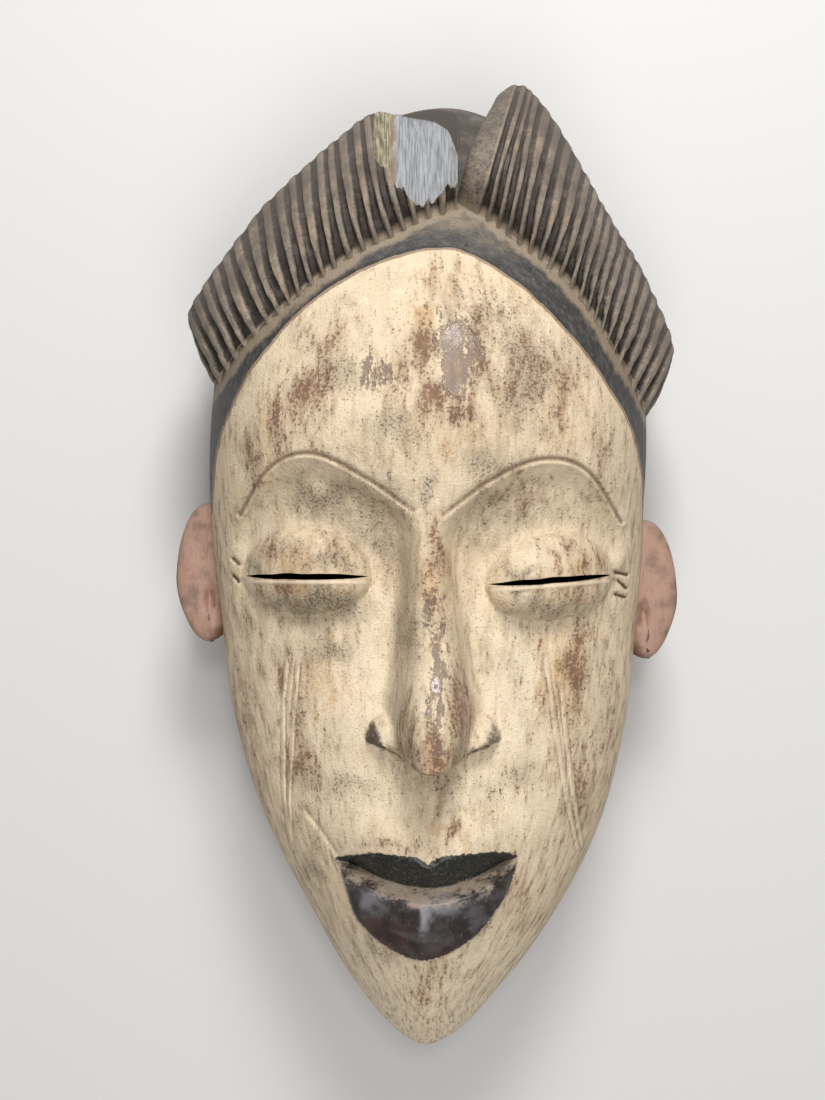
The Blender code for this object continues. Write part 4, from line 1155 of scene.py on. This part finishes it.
    # Blue-grey patina and painted reflection on the lower lip's facets
    patina_and_reflection = f.plus(f.mark("lip_patina_and_reflection"), mottle, 1.0, 0.5)
    lower_colour = f.tint(lower_colour, f.step(patina_and_reflection, 0.2, 0.9), 0.8, LIP_BLUE)
    upper_colour = f.tint(LIP_BLACK, f.step(speck, 0.5, 0.66), 0.7, LIP_OLIVE)
    lip_colour = f.blend(lower, upper_colour, lower_colour)
    ledge_width = f.plus(1.6, f.step(mottle, 0.38, 0.68), 4.5)
    dust_noise = f.maths("SUBTRACT", ledge_width, f.mark("below_parting"))
    dust_noise = f.plus(dust_noise, speck, 7.0, 0.5)
    dust_noise = f.times(f.step(dust_noise, -1.4, 2.4), lower)
    lip_colour = f.tint(lip_colour, dust_noise, 0.8, LIP_DUST)
    flecks = f.step(f.noise(0.7, 2, 0.5, stretch=(1, 2.4, 1), shift=23), 0.66, 0.74)
    lip_colour = f.tint(lip_colour, flecks, 0.35, LIP_DUST)
    colour = f.blend(lip, colour, lip_colour)

    # Hair above the hairline: a brushed charcoal band, dusty where it meets the flutes and in the valley
    above = f.plus(f.mark("above_hairline"), mottle, 1.6, 0.5)
    hair = f.step(above, 0.0, 0.35)
    brushed = f.noise(0.9, 4, 0.7, stretch=(3.5, 3.5, 1), shift=31)
    band = f.blend(f.step(brushed, 0.42, 0.72), CHARCOAL, CHARCOAL_PALE)
    dome = f.tint(DOME_BROWN, f.step(mottle, 0.42, 0.72), 0.6, DUST_GREY)
    band = f.blend(f.step(f.mark("above_hairline"), 22, 34), band, dome)
    ledge = f.rest(f.step(f.plus(f.mark("lobe_foot"), mottle, 5.0, 0.5), 0.6, 2.6))
    dusty = f.maths("MAXIMUM", ledge, f.times(f.mark("valley_dust"), f.step(mottle, 0.2, 0.6)))
    band = f.tint(band, dusty, 0.85, DUST)
    colour = f.blend(hair, colour, band)
    crack = f.rest(f.step(f.maths("ABSOLUTE", f.plus(above, 0.25)), 0.12, 0.6))
    colour = f.tint(colour, crack, 0.7, BROWN_WOOD)

    kaolin = f.times(f.rest(bare), f.rest(polish))
    height = f.total(f.times(kaolin, 0.4), (grain, 0.5), (mottle, 0.5), (speck, 0.8), (strokes, 0.12))
    flat = f.maths("MAXIMUM", lip, f.times(polish, 1.1))
    height = f.times(height, f.rest(f.times(flat, 0.8)))
    dull = f.plus(0.62, grain, 0.2)
    dull = f.maths("SUBTRACT", dull, f.times(hair, 0.16))
    shine = f.maths("MAXIMUM", f.times(lip, 0.42), f.times(polish, 0.52))
    rough = f.maths("SUBTRACT", dull, shine)
    rough = f.maths("ADD", rough, f.times(f.times(lip, dust_noise), 0.3), clamp=True)
    return f.done(colour, rough, height, 0.38)


def fluted_hair():
    """Dark wood whose ridges are dusty: thin pale ridges over black grooves low down, worn grey above."""
    f = Finish("fluted_hair")
    mottle = f.noise(5.0, 4, 0.62, shift=2)
    speck = f.noise(0.9, 3, 0.65, shift=9)
    fibres = f.noise(0.8, 3, 0.6, stretch=(1, 5, 3), shift=13)
    groove, rise = f.mark("groove"), f.mark("rise")
    high = f.step(f.plus(rise, mottle, 0.5), 0.5, 1.15)
    ridge_colour = f.blend(f.step(mottle, 0.38, 0.66), DUST_GREY, DUST)
    ridge_colour = f.tint(ridge_colour, f.step(speck, 0.52, 0.72), 0.65, DOME_BROWN)
    worn = f.plus(f.noise(15, 3, 0.6, shift=21), rise, 0.22)
    ridge_colour = f.tint(ridge_colour, f.step(worn, 0.52, 0.80), 0.7, LOBE_BROWN)
    groove_colour = f.blend(high, GROOVE_BLACK, GROOVE_GREY)
    groove_colour = f.tint(groove_colour, f.step(mottle, 0.48, 0.75), 0.35, DUST_GREY)
    share = f.step(f.plus(groove, speck, 0.5, 0.5), 0.15, 0.75)
    colour = f.blend(share, ridge_colour, groove_colour)
    foot = f.rest(f.step(rise, 0.02, 0.09))
    colour = f.tint(colour, foot, 0.75, DUST)
    behind = f.step(rise, 1.05, 1.5)
    colour = f.blend(behind, colour, DOME_BROWN)
    height = f.total(f.times(fibres, 0.6), (speck, 0.6), (mottle, 0.4))
    rough = f.plus(0.46, speck, 0.3)
    return f.done(colour, rough, height, 0.30)


def ear_wood():
    """Thin pinkish brown wash on flat wood, dark towards its edges and lower end."""
    f = Finish("ear_wood")
    mottle = f.noise(6, 4, 0.6, shift=4)
    speck = f.noise(0.8, 3, 0.6, shift=8)
    grain = f.noise(1.0, 3, 0.6, stretch=(1, 8, 1), shift=15)
    colour = f.blend(f.step(mottle, 0.42, 0.72), EAR_PINK, EAR_DARK)
    colour = f.tint(colour, f.step(speck, 0.6, 0.75), 0.5, EAR_DARK)
    colour = f.tint(colour, f.step(grain, 0.52, 0.72), 0.5, EAR_DARK)
    bound = f.step(f.plus(f.mark("ear_edge"), mottle, 0.5), 0.75, 1.2)
    colour = f.tint(colour, bound, 0.75, BROWN_WOOD)
    bridge = f.plus(f.mark("ear_top"), f.plus(mottle, speck), 0.7)
    colour = f.tint(colour, f.step(bridge, 0.95, 1.7), 0.75, CREAM)
    height = f.plus(f.times(grain, 0.6), speck, 0.4)
    return f.done(colour, 0.55, height, 0.2)


def split_wood():
    """Torn fibres weathered blue grey, with a strip of raw yellow wood along the left flank."""
    f = Finish("split_wood")
    fibre = f.noise(0.5, 4, 0.65, stretch=(1, 40, 12), shift=6)
    mottle = f.noise(4, 3, 0.6, shift=1)
    colour = f.blend(f.step(fibre, 0.28, 0.70), SPLIT_DARK, SPLIT_GREY)
    split_axes = f.tree.nodes.new("ShaderNodeSeparateXYZ")
    f.tree.links.new(f.place, split_axes.inputs[0])
    across = f.plus(f.times(split_axes.outputs["X"], 1000.0), mottle, 3.0)
    raw = f.rest(f.step(across, -10.5, -8.5))
    torn = f.step(f.plus(fibre, mottle, 0.4), 0.62, 0.82)
    yellow = f.blend(torn, SPLIT_OLIVE, SPLIT_YELLOW)
    colour = f.blend(raw, colour, yellow)
    seam = f.rest(f.step(f.maths("ABSOLUTE", f.plus(across, 9.2)), 0.2, 1.0))
    colour = f.tint(colour, seam, 0.7, SPLIT_ORANGE)
    colour = f.blend(f.step(f.mark("stub"), 0.4, 1.4), colour, DOME_BROWN)
    return f.done(colour, 0.72, fibre, 0.5)


def hollow_wood():
    """Bare, smoke-darkened wood inside, paler in broad uneven patches, with dark grain."""
    f = Finish("hollow_wood")
    mottle = f.noise(14, 4, 0.6, shift=2)
    grain = f.noise(1.2, 4, 0.6, stretch=(1, 12, 1), shift=12)
    colour = f.blend(f.step(mottle, 0.35, 0.7), HOLLOW_BROWN, HOLLOW_PALE)
    colour = f.tint(colour, f.step(grain, 0.5, 0.75), 0.6, BROWN_WOOD)
    height = f.plus(f.times(grain, 0.7), mottle, 0.3)
    return f.done(colour, 0.7, height, 0.4)


def pale_floor():
    """A wide plain floor under the mask."""
    half = FLOOR_SIZE / 2
    corners = [(-half, -half, 0), (half, -half, 0), (half, half, 0), (-half, half, 0)]
    mesh = bpy.data.meshes.new("floor")
    mesh.from_pydata(corners, [], [(0, 1, 2, 3)])
    floor = bpy.data.objects.new("floor", mesh)
    bpy.context.scene.collection.objects.link(floor)
    material = bpy.data.materials.new("pale_floor")
    material.use_nodes = True
    shader = material.node_tree.nodes["Principled BSDF"]
    shader.inputs["Base Color"].default_value = (*FLOOR_GREY, 1)
    shader.inputs["Roughness"].default_value = 0.8
    mesh.materials.append(material)
    return floor


def soft_light(name, place, aim, size, watts):
    """A square lamp at place that shines towards aim."""
    light = bpy.data.lights.new(name, "AREA")
    light.shape = "SQUARE"
    light.size = size
    light.energy = watts
    obj = bpy.data.objects.new(name, light)
    obj.location = place
    obj.rotation_euler = (Vector(aim) - Vector(place)).to_track_quat("-Z", "Y").to_euler()
    bpy.context.scene.collection.objects.link(obj)


def soft_world(strength):
    """Faint light from all round, as in a room."""
    world = bpy.data.worlds.new("room")
    world.use_nodes = True
    background = world.node_tree.nodes["Background"]
    background.inputs["Color"].default_value = (1.0, 0.985, 0.96, 1)
    background.inputs["Strength"].default_value = strength
    bpy.context.scene.world = world


def camera_above(place):
    """The camera looks straight down, with the crown towards the top of its picture."""
    camera = bpy.data.cameras.new("camera")
    camera.sensor_fit = "VERTICAL"
    camera.sensor_height = SENSOR
    camera.lens = FOCAL_PIXELS * SENSOR / PICTURE_PIXELS
    camera.clip_start = 0.01
    obj = bpy.data.objects.new("camera", camera)
    obj.location = place
    bpy.context.scene.collection.objects.link(obj)
    bpy.context.scene.camera = obj


materials = {
    "face": painted_face(),
    "hair": fluted_hair(),
    "ear": ear_wood(),
    "split": split_wood(),
    "hollow": hollow_wood(),
}
carving, drawn_box = carve(materials)
mark_paint(carving)
lay_on_frame(carving, drawn_box)
carving.data.shade_smooth()
carving.data.set_sharp_from_angle(angle=np.radians(SHARP_ANGLE))
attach(carving, "root")
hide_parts("carved_mask")

pale_floor()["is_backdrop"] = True
camera_above((-0.0046, 0.0079, 0.580))
soft_light("window", (0.06, 0.60, 0.64), (0, 0.02, 0.05), 0.28, 6.3)
soft_light("front", (0.08, -0.42, 1.10), (0, -0.04, 0.05), 0.7, 6.5)
soft_light("lamp", (0.04, 0.32, 1.28), (0, 0.04, 0.08), 0.18, 2.4)
soft_world(0.22)
bpy.context.scene.view_settings.view_transform = "Standard"
